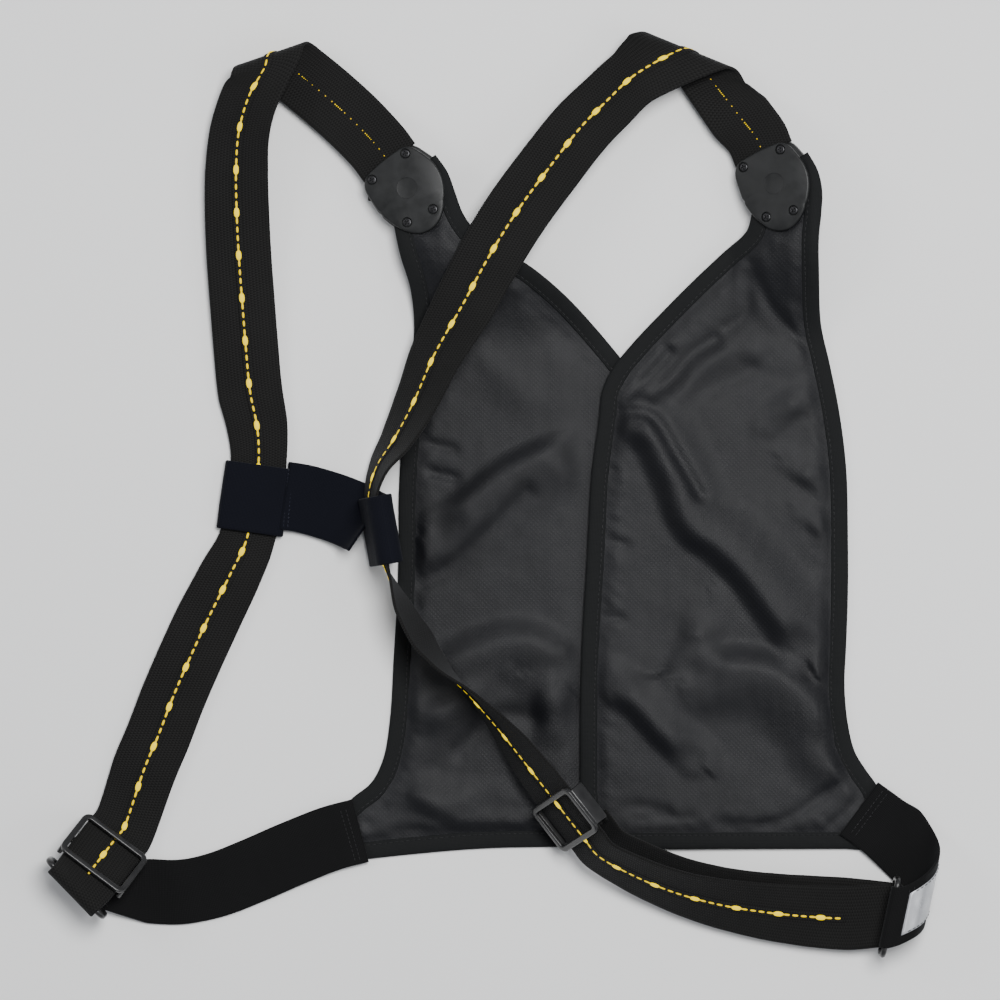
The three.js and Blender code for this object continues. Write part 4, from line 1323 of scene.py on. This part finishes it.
def outline_ring(grow, z):
    rows = []
    for k in range(SIDES):
        angle = 360 * k / SIDES
        notch = sum(0.55 * math.exp(-(((angle - at + 180) % 360 - 180) / 2.6) ** 2) for at in (222, 342))
        r = outline_radius(angle) + grow - notch
        rows.append((r * math.cos(math.radians(angle)), r * math.sin(math.radians(angle)), z))
    return rows


def circle_ring(radius, z, x=0.0, y=0.0, sides=SIDES):
    turns = [2 * math.pi * k / sides for k in range(sides)]
    return [(x + radius * math.cos(a), y + radius * math.sin(a), z) for a in turns]


def holed_face(outer, holes, z):
    """A flat face between an outline and its holes: points, then triangles."""
    loops = [outer, *holes]
    points, edges = [], []
    for loop in loops:
        base = len(points)
        points += [Vector(p[:2]) for p in loop]
        edges += [(base + k, base + (k + 1) % len(loop)) for k in range(len(loop))]
    flat, _, faces, *_ = geometry.delaunay_2d_cdt(points, edges, [], 1, 1e-6)
    centres = [Vector(np.mean([p[:2] for p in hole], axis=0)) for hole in holes]
    radii = [abs(hole[0][0] - centre.x) - 1e-6 for hole, centre in zip(holes, centres)]
    kept = []
    for face in faces:
        middle = sum((flat[i] for i in face), Vector((0, 0))) / len(face)
        if all((middle - centre).length >= radius for centre, radius in zip(centres, radii)):
            kept.append(tuple(face))
    return [(p.x, p.y, z) for p in flat], kept


def build_module(side):
    def put(local):
        return [turned_point(side, p) for p in local]

    # Back plate: a rounded rim, sunk screw seats and a shallow turned dish in the middle.
    plate = Body()
    levels = [(-0.4, 1.2), (0, 1.5), (0.05, 2.6), (-0.08, 3.15), (-0.4, 3.55), (-0.95, PLATE_TOP)]
    rings = [p for grow, z in levels for p in outline_ring(grow, z)]
    plate.add(put(rings), ring_faces(len(levels), SIDES)[:-1])
    seats = [circle_ring(3.15, PLATE_TOP, x, y, 28) for x, y in SCREWS]
    dish = circle_ring(6.2, PLATE_TOP, 0, 0, 64)
    points, faces = holed_face(outline_ring(-0.95, PLATE_TOP), [*seats, dish], PLATE_TOP)
    plate.add(put(points), faces)
    for x, y in SCREWS:
        rows = [p for r, z in ((3.15, PLATE_TOP), (2.98, 3.6), (2.95, 2.3), (0.3, 2.3))
                for p in circle_ring(r, z, x, y, 28)]
        plate.add(put(rows), ring_faces(4, 28)[:-2] + [tuple(3 * 28 + k for k in range(28))])
    rows = [p for r, z in ((6.2, PLATE_TOP), (6.05, 3.6), (5.5, 3.5), (0.4, 3.5))
            for p in circle_ring(r, z, 0, 0, 64)]
    plate.add(put(rows), ring_faces(4, 64)[:-2] + [tuple(3 * 64 + k for k in range(64))])
    made = plate.make(f"{side}_module_plate", CASE, PLATE_CREASE)
    orient(made, PLATE_CREASE, weld=True)
    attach(made, "vest")
    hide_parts(f"{side}_back_plate")

    # Front housing: one closed shell with its chamber, button hole and port pocket.
    shell = Body()
    outer = [(0.5, -1.2), (0.95, -1.5), (1.35, -2.6), (1.4, -3.6), (1.2, -5.4), (0.6, -7.2), (-0.5, -8.8),
             (-2.2, -10.0), (-4.2, -10.8), (-6.2, -11.15), (-8.0, -11.2)]
    rings = [outline_ring(grow, z) for grow, z in outer]
    chamber = [(6.4, -11.2), (5.7, -11.1), (5.3, -10.8), (5.3, -9.4), (9, -9.4), (14.9, -9.4),
               (15, -9.2), (15, -2.1), (16.7, -2.0), (16.7, -1.2)]
    rings += [circle_ring(r, z) for r, z in chamber]
    rows = [p for ring in rings for p in ring]
    shell.add(put(rows), ring_faces(len(rings), SIDES, closed_loop=True))
    made = shell.make(f"{side}_module_housing", CASE, PLATE_CREASE)
    pocket = Body()
    box_body(pocket, (5.2, 10.4, 4.2), (-25, -2, -5.1), module_axes(side), 0.9)
    cutter = pocket.make("pocket_cutter", CASE)
    carve(made, cutter)
    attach(made, "vest")
    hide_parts(f"{side}_front_housing")

    for i, (x, y) in enumerate(SCREWS):
        build_screw(side, i + 1, x, y)

    button = Body()
    profile = [(0.2, -11.35), (2.2, -11.3), (3.6, -11.15), (4.4, -10.9), (4.7, -10.5), (4.7, -9.15),
               (6.0, -9.15), (6.0, -8.4), (0.2, -8.4)]
    rows = [p for r, z in profile for p in circle_ring(r, z + 0.25 * (r < 4.5 and z < -10), 0, 0, 40)]
    button.add(put(rows), ring_faces(len(profile), 40))
    for k in range(3):
        ridge = [p for r, z in ((1.2 + k * 0.9, -11.12), (1.45 + k * 0.9, -11.3), (1.7 + k * 0.9, -11.12))
                 for p in circle_ring(r, z, 0, 0, 40)]
        button.add(put(ridge), ring_faces(3, 40, caps=False))
    made = button.make(f"{side}_button_cap", RUBBER, 50)
    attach(made, f"{side}_button")
    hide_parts(f"{side}_power_button")

    plug = Body()
    box_body(plug, (2.2, 9.6, 3.4), (-23.9, -2, -5.1), module_axes(side), 0.7)
    for k in range(3):
        box_body(plug, (0.4, 0.5, 2.2), (-24.95, -5.6 + 0.9 * k, -5.1), module_axes(side), 0.15)
    made = plug.make(f"{side}_plug_flap", RUBBER, 50)
    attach(made, f"{side}_plug")
    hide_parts(f"{side}_port_plug")

    for node, finish in (("gasket", RUBBER), ("circuit_board", BOARD), ("battery_cell", CELL)):
        held = frame["nodes"][f"{side}_{node}"]
        held.data.materials.clear()
        held.data.materials.append(finish)


def module_axes(side):
    zero = turned_point(side, (0, 0, 0))
    return zero, *(turned_point(side, e) - zero for e in ((1, 0, 0), (0, 1, 0), (0, 0, 1)))


def carve(made, cutter):
    """Take the cutter's space out of a piece, and leave no modifier behind."""
    difference = made.modifiers.new("pocket", "BOOLEAN")
    difference.operation = "DIFFERENCE"
    difference.solver = "EXACT"
    difference.object = cutter
    bpy.context.view_layer.update()
    solved = bpy.data.meshes.new_from_object(made.evaluated_get(bpy.context.evaluated_depsgraph_get()))
    made.modifiers.clear()
    made.data = solved
    bpy.data.objects.remove(cutter)
    orient(made, PLATE_CREASE)


def build_screw(side, number, x, y):
    """A low pan head with a cross recess, on its shank."""
    cross = []
    arm, half = 1.55, 0.33
    for quarter in range(4):
        turn = math.radians(90 * quarter + SCREW_TURN * number)
        for u, v in ((half, half), (arm, half), (arm, -half)):
            cross.append((x + u * math.cos(turn) + v * math.sin(turn),
                          y + u * math.sin(turn) - v * math.cos(turn)))
    body = Body()
    head = [(1.1, -9.0), (1.1, 2.5), (2.5, 2.5), (2.5, 2.95), (2.38, 3.3), (2.05, 3.46), (1.9, 3.5)]
    rows = [p for r, z in head for p in circle_ring(r, z, x, y, 32)]
    body.add([turned_point(side, p) for p in rows], ring_faces(len(head), 32)[:-1])
    rim = circle_ring(1.9, 3.5, x, y, 32)
    points = [Vector(p[:2]) for p in rim] + [Vector(p) for p in cross]
    edges = [(k, (k + 1) % 32) for k in range(32)]
    edges += [(32 + k, 32 + (k + 1) % len(cross)) for k in range(len(cross))]
    flat, _, faces, *_ = geometry.delaunay_2d_cdt(points, edges, [], 1, 1e-7)

    def in_cross(face):
        mx = sum(flat[i].x for i in face) / len(face) - x
        my = sum(flat[i].y for i in face) / len(face) - y
        turn = math.radians(SCREW_TURN * number)
        u = mx * math.cos(turn) + my * math.sin(turn)
        v = -mx * math.sin(turn) + my * math.cos(turn)
        return (abs(u) < half and abs(v) < arm) or (abs(v) < half and abs(u) < arm)

    body.add([turned_point(side, (p.x, p.y, 3.5)) for p in flat],
             [tuple(f) for f in faces if not in_cross(f)])
    top = [turned_point(side, (*p, 3.5)) for p in cross]
    floor = [turned_point(side, (x + (p[0] - x) * 0.72, y + (p[1] - y) * 0.72, 2.7)) for p in cross]
    recess_floor = tuple(range(len(cross), 2 * len(cross)))
    body.add(top + floor, ring_faces(2, len(cross), caps=False) + [recess_floor])
    made = body.make(f"{side}_pan_screw_{number}", STEEL, 35)
    orient(made, PLATE_CREASE, weld=True)
    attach(made, "vest")
    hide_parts(f"{side}_screw_{number}")


build_module("left")
build_module("right")
